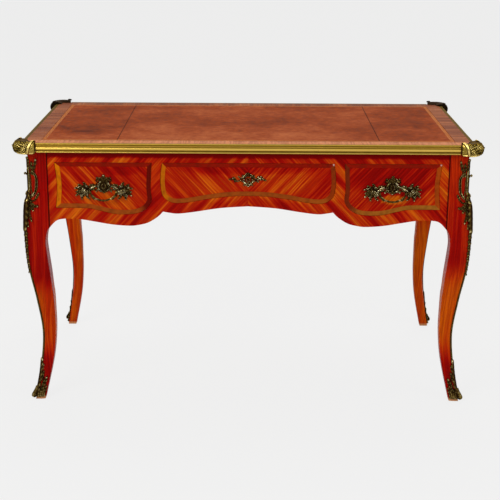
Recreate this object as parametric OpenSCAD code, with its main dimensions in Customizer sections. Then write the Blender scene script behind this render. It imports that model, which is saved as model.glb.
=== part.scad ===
// Flat-topped writing desk with cabriole legs, three frieze drawers and cast brass mounts.
// +Z is up, the front faces -Y, and the origin is on the floor under the middle of the desk.

/* [Top] */
// Length of the top over its brass edge
top_w = 1285; // [1200:1:1500]
// Depth of the top over its brass edge
top_d = 700; // [640:1:850]
// Height of the writing surface
desk_h = 780; // [740:1:800]
// Height of the brass edge, and thickness of the wooden top inside it
edge_h = 26.5; // [24:0.5:32]
// How far the brass edge stands out from the wood
edge_depth = 10; // [8:0.5:14]
// Width of the border round the leather, brass edge included
border_w = 52.5; // [50:0.5:80]
// Thickness of the leather
leather_t = 1.5; // [1:0.1:3]
// Width of each side leather
side_leather_w = 215.5; // [150:0.5:300]

/* [Corner mounts] */
// How far a corner mount runs along each edge
corner_run = 45.5; // [42:0.5:60]
// How far it stands out past the edge of the top
corner_reach = 22; // [16:0.5:28]
// How far it rises above the top
corner_rise = 7; // [4:0.5:10]
// How far it hangs below the brass edge
corner_hang = 2; // [0:0.5:6]

/* [Legs] */
// Overhang of the top past the leg posts
overhang = 17; // [14:0.5:26]
// Width of the square post at the top of a leg
post_w = 54; // [48:0.5:60]
// How far the knee swells out past the post
knee_out = 11.5; // [6:0.5:16]
// How far the ankle draws in behind the post
ankle_in = 19.5; // [12:0.5:24]
// How far the foot kicks out past the post
foot_out = 7.5; // [2:0.5:12]
// Width of the leg at the ankle
ankle_w = 36; // [32:0.5:42]
// Width of the leg at the floor
foot_w = 28; // [26:0.5:36]
// Depth of the hollow in the inner face under the apron
knee_hollow = 12.5; // [8:0.5:14]
// Angle by which the outer faces fall back from the arris
leg_splay = 10.5; // [6:0.5:12]

/* [Frieze] */
// Height of the frieze where it meets the legs
frieze_h = 223.5; // [219:0.5:240]
// Height of the frieze at the lobes under the side drawers
lobe_h = 216.5; // [212:0.5:230]
// Height of the frieze at the cusps beside the centre drawer
cusp_h = 174; // [170:0.5:178]
// Height of the frieze at the low points of the centre arch
centre_h = 179.5; // [176:0.5:190]
// Rise of the centre arch
arch_rise = 22.5; // [14:0.5:26]
// Height of the rail above the drawers
rail_h = 31; // [24:0.5:36]
// Thickness of the frieze boards
apron_t = 22; // [20:0.5:26]
// How far the frieze boards are set back from the posts
apron_recess = 2; // [1:0.5:4]
// Depth of a side board's framed panel below the top's underside
side_panel_h = 179; // [174:0.5:183]
// Width of the stile between leg and side drawer
stile_w = 20.5; // [16:0.5:26]
// Width of the divider between two drawers
divider_w = 24.5; // [21:0.5:34]

/* [Drawers] */
// Width of a side drawer's opening
side_opening_w = 277; // [240:1:320]
// Height of a side drawer's opening at its lowest point
side_opening_h = 152; // [148:0.5:156]
// Height of the centre drawer's opening at its low points
centre_opening_h = 118; // [112:0.5:122]
// Thickness of a drawer's front board
front_t = 20; // [18:0.5:24]
// Width of the bevelled moulding round a drawer's field
bevel_w = 11.5; // [8:0.5:14]
// Depth of the sunk field
bevel_drop = 4; // [2.5:0.5:6]
// Length of a drawer box behind its front
box_l = 540; // [400:1:560]
// Thickness of a drawer's sides and back
box_t = 10; // [8:0.5:14]
// Thickness of a drawer's bottom
bottom_t = 6; // [4:0.5:8]
// How far a drawer box stands in from the edges of its opening
box_inset = 10; // [8:0.5:14]
// Thickness of the partitions between the drawers
partition_t = 18; // [14:0.5:20]
// Thickness of the runners and kickers
runner_t = 16; // [12:0.5:20]

/* [Fittings] */
// Span between the two posts of a handle
handle_span = 94; // [84:1:104]
// Drop of a bail below its pins
bail_drop = 26.5; // [22:0.5:30]
// Radius of a bail's rod
bail_r = 2.8; // [2.2:0.1:3.4]
// Radius of a bail's pins
pin_r = 1.8; // [1.4:0.1:2]
// Height of a bail's pins below the top's underside
handle_depth = 115.5; // [112:0.5:120]
// Height of a side drawer's keyhole below the top's underside
side_key_depth = 98.5; // [95:0.5:102]
// Height of the centre keyhole below the top's underside
centre_key_depth = 79; // [70:0.5:86]
// Width of a lock case
lock_w = 50; // [40:0.5:60]
// Depth of a lock case
lock_t = 14; // [12:0.5:15]
// Width of a lock bolt
bolt_w = 24; // [16:0.5:30]
// Thickness of a lock bolt
bolt_t = 5; // [3:0.5:6]
// How far a lock bolt rises
bolt_throw = 7; // [5:0.5:9]

/* [Brass on the legs] */
// Height of a foot mount
sabot_h = 122; // [100:1:150]
// Height of the wooden block that shows under a foot mount
block_h = 6; // [3:0.5:10]
// Height at which a knee mount's garland ends
garland_z = 400; // [340:1:440]
// How far the fillet stands out from the leg
fillet_t = 3.5; // [2:0.5:5]
// Width of the fillet on each face of the leg
fillet_w = 3; // [2:0.5:6]

/* [Clearances] */
// Gap round each drawer front
drawer_gap = 1; // [0.5:0.1:1.5]
// Running clearance between drawers and their guides
run_gap = 0.3; // [0.2:0.05:0.5]
// Clearance of tenons, bottoms and inset mouldings
joint_gap = 0.1; // [0.05:0.05:0.2]
// Radial clearance of a bail pin in its post
pin_gap = 0.06; // [0.03:0.01:0.09]
// Clearance round a lock bolt
bolt_gap = 0.2; // [0.1:0.05:0.3]

/* [Hidden] */

$fn = 48;
steps = 4; // segments in each span of a curve
cut = 1; // how far a cutting shape runs past what it cuts

frieze_z = desk_h - edge_h; // underside of the top
joint_z = frieze_z - frieze_h; // where the frieze meets the inner face of a leg
post_x = top_w / 2 - overhang; // outer faces of the posts
post_y = top_d / 2 - overhang;
joint_x = post_x - post_w; // inner faces of the posts
joint_y = post_y - post_w;
face_x = post_x - apron_recess; // outer faces of the frieze
face_y = post_y - apron_recess;
field_y = face_y - bevel_drop; // face of a sunk field
inner_y = face_y - apron_t; // inner face of the front and back boards
wood_x = top_w / 2 - edge_depth; // edges of the wooden top
wood_y = top_d / 2 - edge_depth;
leather_x = top_w / 2 - border_w;
leather_y = top_d / 2 - border_w;
opening_z = frieze_z - rail_h; // top of every drawer opening
stile_bottom_z = opening_z - centre_opening_h + arch_rise + 3;
side_out = joint_x - stile_w; // outer and inner edge of a side opening
side_in = side_out - side_opening_w;
side_mid = (side_in + side_out) / 2;
inner_side_x = face_x - apron_t;
centre_half = side_in - divider_w; // half width of the centre opening
cusp_x = side_in - 30;
board_y = field_y - front_t; // back of a drawer's front board
box_top_z = opening_z - 8.5;
box_back_y = board_y - box_l;
side_box_z = opening_z - side_opening_h + 31.5;
centre_box_z = opening_z - centre_opening_h + arch_rise + 4;
side_box_x0 = side_in + box_inset;
side_box_x1 = side_out - box_inset;
centre_box_x = centre_half - box_inset;
handle_z = frieze_z - handle_depth;
side_key_z = frieze_z - side_key_depth;
centre_key_z = frieze_z - centre_key_depth;
pin_out = 14; // distance of a bail's pins in front of the field
post_r = 4.5; // radius of a handle's posts
stud_r = 2; // radius of the threaded studs behind them
tenon_l = 25;
tenon_t = 10;
groove = 5; // depth of the grooves that hold a drawer's bottom
bottom_rise = 7; // height of a drawer's bottom above the lower edge of its sides
back_drop = 6; // how far a drawer's back stays below its sides
key_r = 2.6; // radius of a keyhole's round part
key_w = 2.4; // width of its slot
key_h = 9; // depth of its slot below the round part
lock_below = 15; // how far a lock case reaches below its keyhole
bolt_rise = 8; // height of a bolt's lower end above its keyhole
bolt_mid = board_y + lock_t - 6; // distance of the bolts' middle plane from the desk's middle
lock_top_z = opening_z - drawer_gap;
bolt_top_z = lock_top_z - bolt_gap;
brass = "darkgoldenrod";
wood = "firebrick";
inner_wood = "peru";

// Point at share t of the span from b to c of a smooth curve through a, b, c and d
function on_curve(a, b, c, d, t) =
    0.5 * (2 * b + (c - a) * t + (2 * a - 5 * b + 4 * c - d) * t * t + (3 * b - a - 3 * c + d) * t * t * t);

// Smooth curve through the points p
function curve(p, n = steps) = [
    for (i = [0:len(p) - 2]) for (k = [0:n - 1])
        on_curve(p[max(i - 1, 0)], p[i], p[i + 1], p[min(i + 2, len(p) - 1)], k / n),
    p[len(p) - 1]
];
function reverse(p) = [for (i = [len(p) - 1:-1:0]) p[i]];
function open_end(p) = [for (i = [0:len(p) - 2]) p[i]];
function flipped(p) = [for (q = p) [-q[0], q[1]]];
function both_sides(p) = concat(open_end(flipped(reverse(p))), p);
function mix(a, b, k) = a + (b - a) * k;

// Unit normal to the left of the way from a to b
function normal(a, b) = [a[1] - b[1], b[0] - a[0]] / norm(b - a);

// Outline p, anticlockwise, drawn in by d at every edge
function inset(p, d) = [
    for (i = [0:len(p) - 1])
        let (
            m = normal(p[(i + len(p) - 1) % len(p)], p[i]),
            n = normal(p[i], p[(i + 1) % len(p)])
        )
        p[i] + d * (m + n) / (1 + m * n)
];

// Whether outline p turns sharply at its point i
function is_sharp(p, i) =
    let (a = p[i] - p[(i + len(p) - 1) % len(p)], b = p[(i + 1) % len(p)] - p[i])
    a * b < 0.6 * norm(a) * norm(b);

// Outline p without the points that a bevelled moulding has no room for beside its sharp corners
function open_corners(p) =
    let (sharp = [for (i = [0:len(p) - 1]) if (is_sharp(p, i)) p[i]])
    [
        for (i = [0:len(p) - 1])
            if (is_sharp(p, i) || min([for (c = sharp) norm(p[i] - c)]) > 1.4 * bevel_w) p[i]
    ];

// Outer edge of a leg, as [distance past the post's face, height]
outer_edge = concat(
    curve([
        [foot_out, 0],
        [mix(-ankle_in, foot_out, 0.37), 0.17 * joint_z],
        [-ankle_in, 0.38 * joint_z],
        [mix(-ankle_in, knee_out, 0.37), 0.585 * joint_z],
        [mix(-ankle_in, knee_out, 0.87), 0.775 * joint_z],
        [knee_out, 0.96 * joint_z],
        [0.78 * knee_out, joint_z + 60],
        [0, joint_z + 110]
    ]),
    [[0, frieze_z]]
);

// Inner edge of a leg, measured from the same face
foot_inner = foot_out - foot_w;
ankle_inner = -ankle_in - ankle_w;
inner_edge = concat(
    curve([
        [foot_inner, 0],
        [mix(ankle_inner, foot_inner, 0.42), 0.17 * joint_z],
        [mix(ankle_inner, foot_inner, 0.14), 0.28 * joint_z],
        [ankle_inner, 0.4 * joint_z],
        [ankle_inner, 0.5 * joint_z],
        [mix(-post_w, ankle_inner, 0.3), 0.6 * joint_z],
        [0.13 * knee_hollow - post_w, 0.645 * joint_z],
        [0.38 * knee_hollow - post_w, 0.732 * joint_z],
        [0.72 * knee_hollow - post_w, 0.82 * joint_z],
        [knee_hollow - post_w, 0.902 * joint_z],
        [0.945 * knee_hollow - post_w, 0.936 * joint_z],
        [0.78 * knee_hollow - post_w, 0.962 * joint_z],
        [0.42 * knee_hollow - post_w, 0.988 * joint_z],
        [-post_w, joint_z]
    ]),
    [[-post_w, frieze_z]]
);
outer_table = [for (p = outer_edge) [p[1], p[0]]];

// How far a leg's falling faces stand off its arris, by height: close to it from the ankle to the
// knee, and clear of the whole post above
splay_table = [
    [0, 3],
    [0.11 * joint_z, 3],
    [0.2 * joint_z, 2],
    [0.3 * joint_z, 0.5],
    [joint_z, 1],
    [joint_z + 60, 3.2],
    [joint_z + 110, post_w * sin(leg_splay) + 0.7],
    [frieze_z, post_w]
];

// Bands of brass on an arris, as [height, width on each face, thickness]
knee_band = concat(
    curve([
        [garland_z, fillet_w, fillet_t],
        [mix(garland_z, joint_z, 0.15), 6, 6],
        [mix(garland_z, joint_z, 0.4), 5, 8],
        [mix(garland_z, joint_z, 0.7), 5, 8.2],
        [mix(garland_z, joint_z, 0.9), 5.3, 8.4],
        [joint_z + 2, 6, 8.4],
        [joint_z + 13, 9, 8.4],
        [joint_z + 22, 16, 8.2],
        [joint_z + 32, 11, 8],
        [joint_z + 46, 13, 8],
        [joint_z + 56, 20, 7.5],
        [joint_z + 66, 29, 7],
        [joint_z + 76, 20, 6.7],
        [joint_z + 88, 23, 6.2],
        [joint_z + 103, 30, 5.5],
        [joint_z + 114, 24.5, 5.5],
        [joint_z + 129, 25.5, 5.5],
        [frieze_z - 74, 24, 5.5],
        [frieze_z - 57, 17, 5.5],
        [frieze_z - 46, 17, 5.5],
        [frieze_z - 34, 23, 5.5],
        [frieze_z - 25, 23, 5]
    ], 3),
    [[frieze_z - 17, 10, 4]]
);
sabot_band = curve([
    [block_h, 26, 7],
    [0.17 * sabot_h, 26, 6],
    [0.31 * sabot_h, 24, 5],
    [0.42 * sabot_h, 18, 4.5],
    [0.52 * sabot_h, 20, 4.5],
    [0.57 * sabot_h, 21, 4.3],
    [0.65 * sabot_h, 13, 4.2],
    [0.73 * sabot_h, 10.5, 4],
    [0.8 * sabot_h, 11, 4],
    [0.9 * sabot_h, 7, 3.8],
    [sabot_h, fillet_w, fillet_t]
], 3);
fillet_heights = [for (p = outer_edge) if (p[1] > sabot_h + 4 && p[1] < garland_z - 4) p[1]];
fillet_band = [for (z = concat([sabot_h], fillet_heights, [garland_z])) [z, fillet_w, fillet_t]];

// Lower edge of the front and back boards, from the middle to the leg, as [x, z]
lobe_w = joint_x - cusp_x;
front_edge = concat(
    open_end(curve([
        [0, frieze_z - centre_h + arch_rise],
        [0.32 * cusp_x, frieze_z - centre_h + 0.76 * arch_rise],
        [0.61 * cusp_x, frieze_z - centre_h + 0.27 * arch_rise],
        [0.815 * cusp_x, frieze_z - centre_h],
        [0.92 * cusp_x, mix(frieze_z - centre_h, frieze_z - cusp_h, 0.4)],
        [cusp_x, frieze_z - cusp_h]
    ])),
    curve([
        [cusp_x, frieze_z - cusp_h],
        [cusp_x + 0.043 * lobe_w, mix(frieze_z - lobe_h, frieze_z - cusp_h, 0.66)],
        [cusp_x + 0.125 * lobe_w, mix(frieze_z - lobe_h, frieze_z - cusp_h, 0.25)],
        [cusp_x + 0.208 * lobe_w, mix(frieze_z - lobe_h, frieze_z - cusp_h, 0.07)],
        [cusp_x + 0.293 * lobe_w, frieze_z - lobe_h],
        [cusp_x + 0.446 * lobe_w, frieze_z - lobe_h + 3.5],
        [cusp_x + 0.6 * lobe_w, frieze_z - lobe_h + 12],
        [cusp_x + 0.721 * lobe_w, frieze_z - lobe_h + 18.5],
        [joint_x - 64.5, frieze_z - lobe_h + 20],
        [joint_x - 36.5, joint_z + 26],
        [joint_x - 18.5, joint_z + 19.5],
        [joint_x, joint_z]
    ])
);

// Lower edge of a side board, from the middle to the leg, as [y, z]
side_edge = curve([
    [0, frieze_z - lobe_h + 27],
    [0.2 * joint_y, frieze_z - lobe_h + 16],
    [0.36 * joint_y, frieze_z - lobe_h + 5],
    [0.5 * joint_y, frieze_z - lobe_h + 5.5],
    [0.64 * joint_y, frieze_z - lobe_h + 13.5],
    [joint_y - 61, frieze_z - lobe_h + 20],
    [joint_y - 36.5, joint_z + 26],
    [joint_y - 18.5, joint_z + 19.5],
    [joint_y, joint_z]
]);

// Outline of the right side drawer's opening, anticlockwise from its lower outer corner
side_low_z = opening_z - side_opening_h;
side_opening = open_corners(concat(
    curve([
        [side_out, side_low_z + 18],
        [side_out - 6, mix(side_low_z + 18, opening_z, 0.5)],
        [side_out, opening_z]
    ]),
    open_end(curve([
        [side_in, opening_z],
        [side_in + 4, side_low_z + 80],
        [side_in + 1.5, side_low_z + 46.5],
        [side_in + 8, side_low_z + 28.5],
        [side_in + 22, side_low_z + 14],
        [side_in + 0.16 * side_opening_w, side_low_z + 3.5],
        [side_in + 0.27 * side_opening_w, side_low_z],
        [side_in + 0.41 * side_opening_w, side_low_z + 2],
        [side_in + 0.57 * side_opening_w, side_low_z + 12.5],
        [side_in + 0.69 * side_opening_w, side_low_z + 18],
        [side_out, side_low_z + 18]
    ]))
));

// Outline of the centre drawer's opening, its right half from the middle of the lower edge
centre_low_z = opening_z - centre_opening_h;
centre_opening_half = curve([
    [0, centre_low_z + arch_rise],
    [0.2 * centre_half, centre_low_z + 0.93 * arch_rise],
    [0.44 * centre_half, centre_low_z + 0.6 * arch_rise],
    [0.656 * centre_half, centre_low_z + 0.17 * arch_rise],
    [0.796 * centre_half, centre_low_z],
    [0.88 * centre_half, centre_low_z + 2.5],
    [centre_half - 14, centre_low_z + 11.5],
    [centre_half - 3.5, centre_low_z + 26],
    [centre_half + 1, centre_low_z + 60],
    [centre_half - 1, centre_low_z + 95],
    [centre_half - 4.5, opening_z]
]);
centre_opening = open_corners(both_sides(centre_opening_half));

// Outline of a side board's framed panel, anticlockwise, as [y, z]
side_panel_z = frieze_z - side_panel_h;
side_panel_half = curve([
    [0, side_panel_z + 17],
    [0.19 * joint_y, side_panel_z + 10],
    [0.37 * joint_y, side_panel_z],
    [0.54 * joint_y, side_panel_z + 1],
    [0.7 * joint_y, side_panel_z + 11],
    [joint_y - stile_w, side_panel_z + 14]
]);
side_panel_outline = open_corners(concat(
    both_sides(side_panel_half),
    [[joint_y - stile_w, opening_z], [stile_w - joint_y, opening_z]]
));

// Places a part made at the back right corner at the corner named by the signs of x and y
module at_corner(sx, sy) {
    mirror([sx < 0 ? 1 : 0, 0, 0]) mirror([0, sy < 0 ? 1 : 0, 0]) children();
}

// A part on one face of the corner whose edge is at x and y, and its mirror image on the other face
module both_faces(x, y) {
    children();
    translate([x, y, 0]) mirror([1, -1, 0]) translate([-x, -y, 0]) children();
}

// A flat outline in x and z, made into a board from y0 to y1
module board_y(y0, y1) {
    translate([0, y1, 0]) rotate([90, 0, 0]) linear_extrude(y1 - y0) children();
}

// A flat outline in y and z, made into a board from x0 to x1
module board_x(x0, x1) {
    translate([x0, 0, 0]) rotate([90, 0, 90]) linear_extrude(x1 - x0) children();
}

// Box between two corners
module block(low, high) {
    translate(low) cube(high - low);
}

// Section of the brass edge, with its outer side towards +x and its top at y = 0: a flat fillet,
// a groove, a small bead, a large bead, a cove and a small bead at the foot
module edge_section() {
    fillet_h = 2.2;
    small_r = 1.6;
    large_r = 3.8;
    small_y = -7.2;
    large_y = -14.8;
    foot_y = small_r - edge_h;
    translate([0, -fillet_h]) square([edge_depth, fillet_h]);
    translate([0, -edge_h]) square([edge_depth - 2.6, edge_h]);
    translate([edge_depth - large_r, large_y]) circle(large_r);
    for (y = [small_y, foot_y]) translate([edge_depth - 0.6 - small_r, y]) circle(small_r);
}

module edge_moulding(half_length, edge) {
    color(brass)
        translate([-half_length, -edge, desk_h])
        rotate([90, 0, 90])
        linear_extrude(2 * half_length)
        mirror([1, 0])
        edge_section();
}

// Shell that swells round one corner of the top, with flutes round its rim and a collar at each end
module corner_mount() {
    shell_h = edge_h + corner_rise + corner_hang;
    inset_c = 18; // centre of the shell, in from each edge
    shell_reach = inset_c + corner_reach;
    shell_r = shell_h / 2;
    flutes = 8;
    flute_r = 3.4;
    collar_w = 9;
    color(brass) difference() {
        union() {
            intersection() {
                translate([top_w / 2 - inset_c, top_d / 2 - inset_c, desk_h + corner_rise - shell_r])
                    rotate_extrude() intersection() {
                        union() {
                            translate([shell_reach - shell_r, 0]) circle(shell_r);
                            translate([0, -shell_r]) square([shell_reach - shell_r, shell_h]);
                        }
                        translate([0, -shell_r]) square([shell_reach, shell_h]);
                    }
                block([top_w / 2 - corner_run, top_d / 2 - corner_run, 0], [top_w, top_d, 2 * desk_h]);
            }
            both_faces(top_w / 2, top_d / 2) {
                translate([top_w / 2 - corner_run, top_d / 2 - edge_depth, desk_h])
                    rotate([90, 0, 90]) linear_extrude(corner_run - inset_c) edge_section();
                board_x(top_w / 2 - corner_run, top_w / 2 - corner_run + collar_w) {
                    translate([top_d / 2 - edge_depth, frieze_z - 4]) square([edge_depth, edge_h + 6]);
                    translate([top_d / 2 - 2, desk_h - 13]) circle(14);
                }
            }
        }
        block([0, 0, frieze_z], [wood_x, wood_y, desk_h]);
        block([0, 0, 0], [post_x + joint_gap, post_y + joint_gap, frieze_z + cut]);
        translate([top_w / 2 - inset_c, top_d / 2 - inset_c, 0])
            for (i = [0:flutes - 1]) rotate(-20 + i * 130 / (flutes - 1))
                translate([shell_reach + 0.8, 0, 0]) cylinder(h = 2 * desk_h, r = flute_r);
    }
}

// Cabriole leg: one template cut from both sides, then its outer faces cut back from the arris
module leg_blank() {
    template = concat(outer_edge, reverse(inner_edge));
    falling = concat(
        [for (p = outer_edge) [p[0] * (cos(leg_splay) - sin(leg_splay)) + lookup(p[1], splay_table), p[1]]],
        [[-2 * post_w, frieze_z], [-2 * post_w, 0]]
    );
    intersection() {
        translate([post_x, 0, 0]) board_y(post_y - 2 * post_w, post_y + post_w) polygon(template);
        translate([0, post_y, 0]) board_x(post_x - 2 * post_w, post_x + post_w) polygon(template);
        translate([post_x, post_y, 0]) rotate(-leg_splay) board_y(-3 * post_w, 2 * post_w) polygon(falling);
        translate([post_x, post_y, 0]) rotate(leg_splay) board_x(-3 * post_w, 2 * post_w) polygon(falling);
    }
}

// Heights of the two tenons on the end of a board
tenon_spans = [[frieze_z - 25, frieze_z - 8], [joint_z + 30, joint_z + 85]];

// Tenon on the end of a front or back board, grown by g for its mortise
module tenon_along_x(span, g) {
    y = face_y - apron_t / 2;
    half = tenon_t / 2 + g;
    block([joint_x - g, y - half, span[0] - g], [joint_x + tenon_l + g, y + half, span[1] + g]);
}

// The same on the end of a side board
module tenon_along_y(span, g) {
    x = face_x - apron_t / 2;
    half = tenon_t / 2 + g;
    block([x - half, joint_y - g, span[0] - g], [x + half, joint_y + tenon_l + g, span[1] + g]);
}

module leg() {
    color(wood) difference() {
        leg_blank();
        for (s = tenon_spans) {
            tenon_along_x(s, joint_gap);
            tenon_along_y(s, joint_gap);
        }
    }
}

// Brass wrapped round the arris of a leg: the band seen from the front, cut by the same band seen
// from the side, less the leg itself
module arris_band(band) {
    template = concat(
        [for (b = band) [lookup(b[0], outer_table) + b[2], b[0]]],
        [for (b = reverse(band)) [lookup(b[0], outer_table) - b[1], b[0]]]
    );
    difference() {
        intersection() {
            translate([post_x, 0, 0]) board_y(post_y - post_w, post_y + post_w) polygon(template);
            translate([0, post_y, 0]) board_x(post_x - post_w, post_x + post_w) polygon(template);
        }
        leg_blank();
    }
}

// Knee mount: crossed leaves at the top, an open scroll, a falling leaf and a garland
module knee_mount() {
    slot_w = 9;
    slot_z = [joint_z + 124, frieze_z - 66];
    slot_e = 13; // middle of the slot, in from the arris
    color(brass) difference() {
        arris_band(knee_band);
        both_faces(post_x, post_y) board_y(post_y - cut, post_y + 20) {
            translate([post_x - slot_e - slot_w / 2, slot_z[0]]) square([slot_w, slot_z[1] - slot_z[0]]);
            for (z = slot_z) translate([post_x - slot_e, z]) circle(slot_w / 2);
        }
    }
}

// Foot mount with a scroll curling off the toe
module foot_mount() {
    toe_r = 7;
    toe = foot_out + 2.5;
    color(brass) union() {
        arris_band(sabot_band);
        difference() {
            translate([post_x + toe, post_y + toe, block_h + toe_r])
                rotate([90, 0, 45])
                cylinder(h = 17, r = toe_r, center = true);
            leg_blank();
        }
    }
}

module front_openings() {
    polygon(centre_opening);
    for (m = [0, 1]) mirror([m, 0]) polygon(side_opening);
}

module tenoned_ends(spans) {
    for (sx = [-1, 1]) at_corner(sx, -1) for (s = spans) tenon_along_x(s, 0);
}

module front_top_rail() {
    color(wood) difference() {
        union() {
            block([-joint_x, -face_y, opening_z], [joint_x, -inner_y, frieze_z]);
            tenoned_ends([tenon_spans[0]]);
        }
        for (x = [-side_mid, 0, side_mid]) bolt_mortise(x);
    }
}

module front_apron() {
    edge = both_sides(front_edge);
    color(wood) union() {
        board_y(-face_y, -inner_y) difference() {
            polygon(concat(edge, [[joint_x, stile_bottom_z], [-joint_x, stile_bottom_z]]));
            front_openings();
        }
        tenoned_ends([tenon_spans[1]]);
    }
}

module front_stiles() {
    color(wood) board_y(-face_y, -inner_y) difference() {
        translate([-joint_x, stile_bottom_z]) square([2 * joint_x, opening_z - stile_bottom_z]);
        front_openings();
    }
}

module back_panel() {
    edge = both_sides(front_edge);
    color(wood) mirror([0, 1, 0]) union() {
        difference() {
            board_y(-face_y, -inner_y)
                polygon(concat(edge, [[joint_x, frieze_z], [-joint_x, frieze_z]]));
            board_y(-face_y - cut, -field_y) front_openings();
        }
        tenoned_ends(tenon_spans);
    }
}

module side_panel() {
    color(wood) union() {
        difference() {
            board_x(inner_side_x, face_x)
                polygon(concat(both_sides(side_edge), [[joint_y, frieze_z], [-joint_y, frieze_z]]));
            board_x(face_x - bevel_drop, face_x + cut) polygon(side_panel_outline);
        }
        for (sy = [-1, 1]) at_corner(1, sy) for (s = tenon_spans) tenon_along_y(s, 0);
    }
}

// Bevelled frame round outline p, facing -y: proud at its outer edge and thin at its inner edge
module bevel_frame(p) {
    n = len(p);
    q = inset(p, bevel_w);
    lip = 0.8;
    points = concat(
        [for (a = p) [a[0], -field_y, a[1]]],
        [for (a = p) [a[0], -face_y, a[1]]],
        [for (a = q) [a[0], -field_y - lip, a[1]]],
        [for (a = q) [a[0], -field_y, a[1]]]
    );
    faces = [
        for (k = [0:3]) for (i = [0:n - 1])
            let (j = (i + 1) % n, a = k * n, b = ((k + 1) % 4) * n)
            each [[a + i, b + i, b + j], [a + i, b + j, a + j]]
    ];
    color("saddlebrown") polyhedron(points, faces);
}

module back_panel_mouldings() {
    mirror([0, 1, 0]) {
        bevel_frame(inset(centre_opening, joint_gap));
        for (m = [0, 1]) mirror([m, 0, 0]) bevel_frame(inset(side_opening, joint_gap));
    }
}

module side_panel_mouldings() {
    for (s = [-1, 1]) mirror([s < 0 ? 1 : 0, 0, 0])
        rotate(90) translate([0, face_y - face_x, 0])
        bevel_frame(inset(side_panel_outline, joint_gap));
}

module top_panel() {
    color(wood) difference() {
        block([-wood_x, -wood_y, frieze_z], [wood_x, wood_y, desk_h]);
        block([-leather_x, -leather_y, desk_h - leather_t], [leather_x, leather_y, desk_h + cut]);
    }
}

module leather(x0, x1) {
    color("sienna") block([x0, -leather_y, desk_h - leather_t], [x1, leather_y, desk_h]);
}

partition_z = frieze_z - cusp_h;
partition_in = side_in - (divider_w + partition_t) / 2; // the side of an inner partition nearer the middle

module partitions() {
    color(inner_wood) for (m = [0, 1]) mirror([m, 0, 0]) {
        block([partition_in, -inner_y, partition_z], [partition_in + partition_t, inner_y, frieze_z]);
        block([joint_x - partition_t, -inner_y, partition_z], [joint_x, inner_y, frieze_z]);
    }
}

// Runner with a guide strip, a kicker above it and a stop behind, for the drawer side from
// x = side to side + box_t, against a partition's face at x = face, left of the side
module guide_set(face, side, box_z) {
    under = side + box_t + 2;
    front = -board_y + run_gap;
    color(inner_wood) {
        board_y(front, inner_y) polygon([
            [face, box_z - run_gap - runner_t],
            [under, box_z - run_gap - runner_t],
            [under, box_z - run_gap],
            [side - run_gap, box_z - run_gap],
            [side - run_gap, box_z + 22],
            [face, box_z + 22]
        ]);
        block([face, front, box_top_z + run_gap], [under, inner_y, box_top_z + run_gap + runner_t]);
        block([face, run_gap - box_back_y, box_z + 22], [under, run_gap - box_back_y + 18, box_z + 50]);
    }
}

module drawer_guides() {
    for (m = [0, 1]) mirror([m, 0, 0]) {
        guide_set(partition_in + partition_t, side_box_x0, side_box_z);
        mirror([1, 0, 0]) guide_set(partition_t - joint_x, -side_box_x1, side_box_z);
        mirror([1, 0, 0]) guide_set(-partition_in, -centre_box_x, centre_box_z);
    }
}

module glue_block(l) {
    s = 22;
    rotate([90, 0, 90]) linear_extrude(l) polygon([[0, 0], [-s, 0], [0, -s]]);
}

module glue_blocks() {
    l = 50;
    color(inner_wood) {
        for (x = [-side_mid, -0.4 * centre_half, 0.4 * centre_half, side_mid])
            translate([x - l / 2, inner_y, frieze_z]) glue_block(l);
        for (m = [0, 1]) mirror([m, 0, 0]) for (y = [-0.5, 0.5])
            translate([inner_side_x, y * joint_y + l / 2, frieze_z]) rotate(-90) glue_block(l);
    }
}

// Front board of a drawer, with its groove, lock pocket, keyhole and stud holes
module drawer_front(opening, x0, x1, box_z, key_x, key_z, stud_x) {
    board = inset(opening, drawer_gap);
    color(wood) difference() {
        board_y(-field_y, -board_y) polygon(board);
        lock_pocket(key_x, key_z);
        keyhole(key_x, key_z, field_y);
        block([x0 + box_t - groove, -board_y - groove, box_z + bottom_rise - joint_gap],
              [x1 - box_t + groove, -board_y + cut, box_z + bottom_rise + bottom_t + joint_gap]);
        for (x = stud_x) translate([x, -field_y, handle_z]) rotate([-90, 0, 0])
            translate([0, 0, -cut]) cylinder(h = front_t + 2 * cut, r = stud_r + joint_gap);
    }
}

module drawer_moulding(opening) {
    bevel_frame(inset(opening, drawer_gap));
}

// Two sides with grooves, and a back that stands on the bottom
module drawer_box(x0, x1, box_z) {
    y0 = -board_y;
    y1 = -box_back_y;
    floor_z = box_z + bottom_rise;
    color(inner_wood) {
        difference() {
            union() {
                block([x0, y0, box_z], [x0 + box_t, y1, box_top_z]);
                block([x1 - box_t, y0, box_z], [x1, y1, box_top_z]);
            }
            block([x0 + box_t - groove, y0 - cut, floor_z - joint_gap],
                  [x1 - box_t + groove, y1 + cut, floor_z + bottom_t + joint_gap]);
        }
        block([x0 + box_t + joint_gap, y1 - box_t, floor_z + bottom_t],
              [x1 - box_t - joint_gap, y1, box_top_z - back_drop]);
    }
}

module drawer_bottom(x0, x1, box_z) {
    edge = groove - joint_gap;
    color(inner_wood) block([x0 + box_t - edge, -board_y - edge, box_z + bottom_rise],
                            [x1 - box_t + edge, -box_back_y, box_z + bottom_rise + bottom_t]);
}

module lock_pocket(x, z) {
    block([x - lock_w / 2 - joint_gap, -board_y - lock_t - joint_gap, z - lock_below - joint_gap],
          [x + lock_w / 2 + joint_gap, -board_y + cut, opening_z]);
}

module keyhole(x, z, y) {
    translate([x, -y - cut, z]) rotate([-90, 0, 0]) cylinder(h = front_t, r = key_r);
    block([x - key_w / 2, -y - cut, z - key_h], [x + key_w / 2, -y + front_t - cut, z]);
}

module bolt_shape(x, z0, z1, g) {
    half_w = bolt_w / 2 + g;
    half_t = bolt_t / 2 + g;
    block([x - half_w, -bolt_mid - half_t, z0], [x + half_w, -bolt_mid + half_t, z1]);
}

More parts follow.
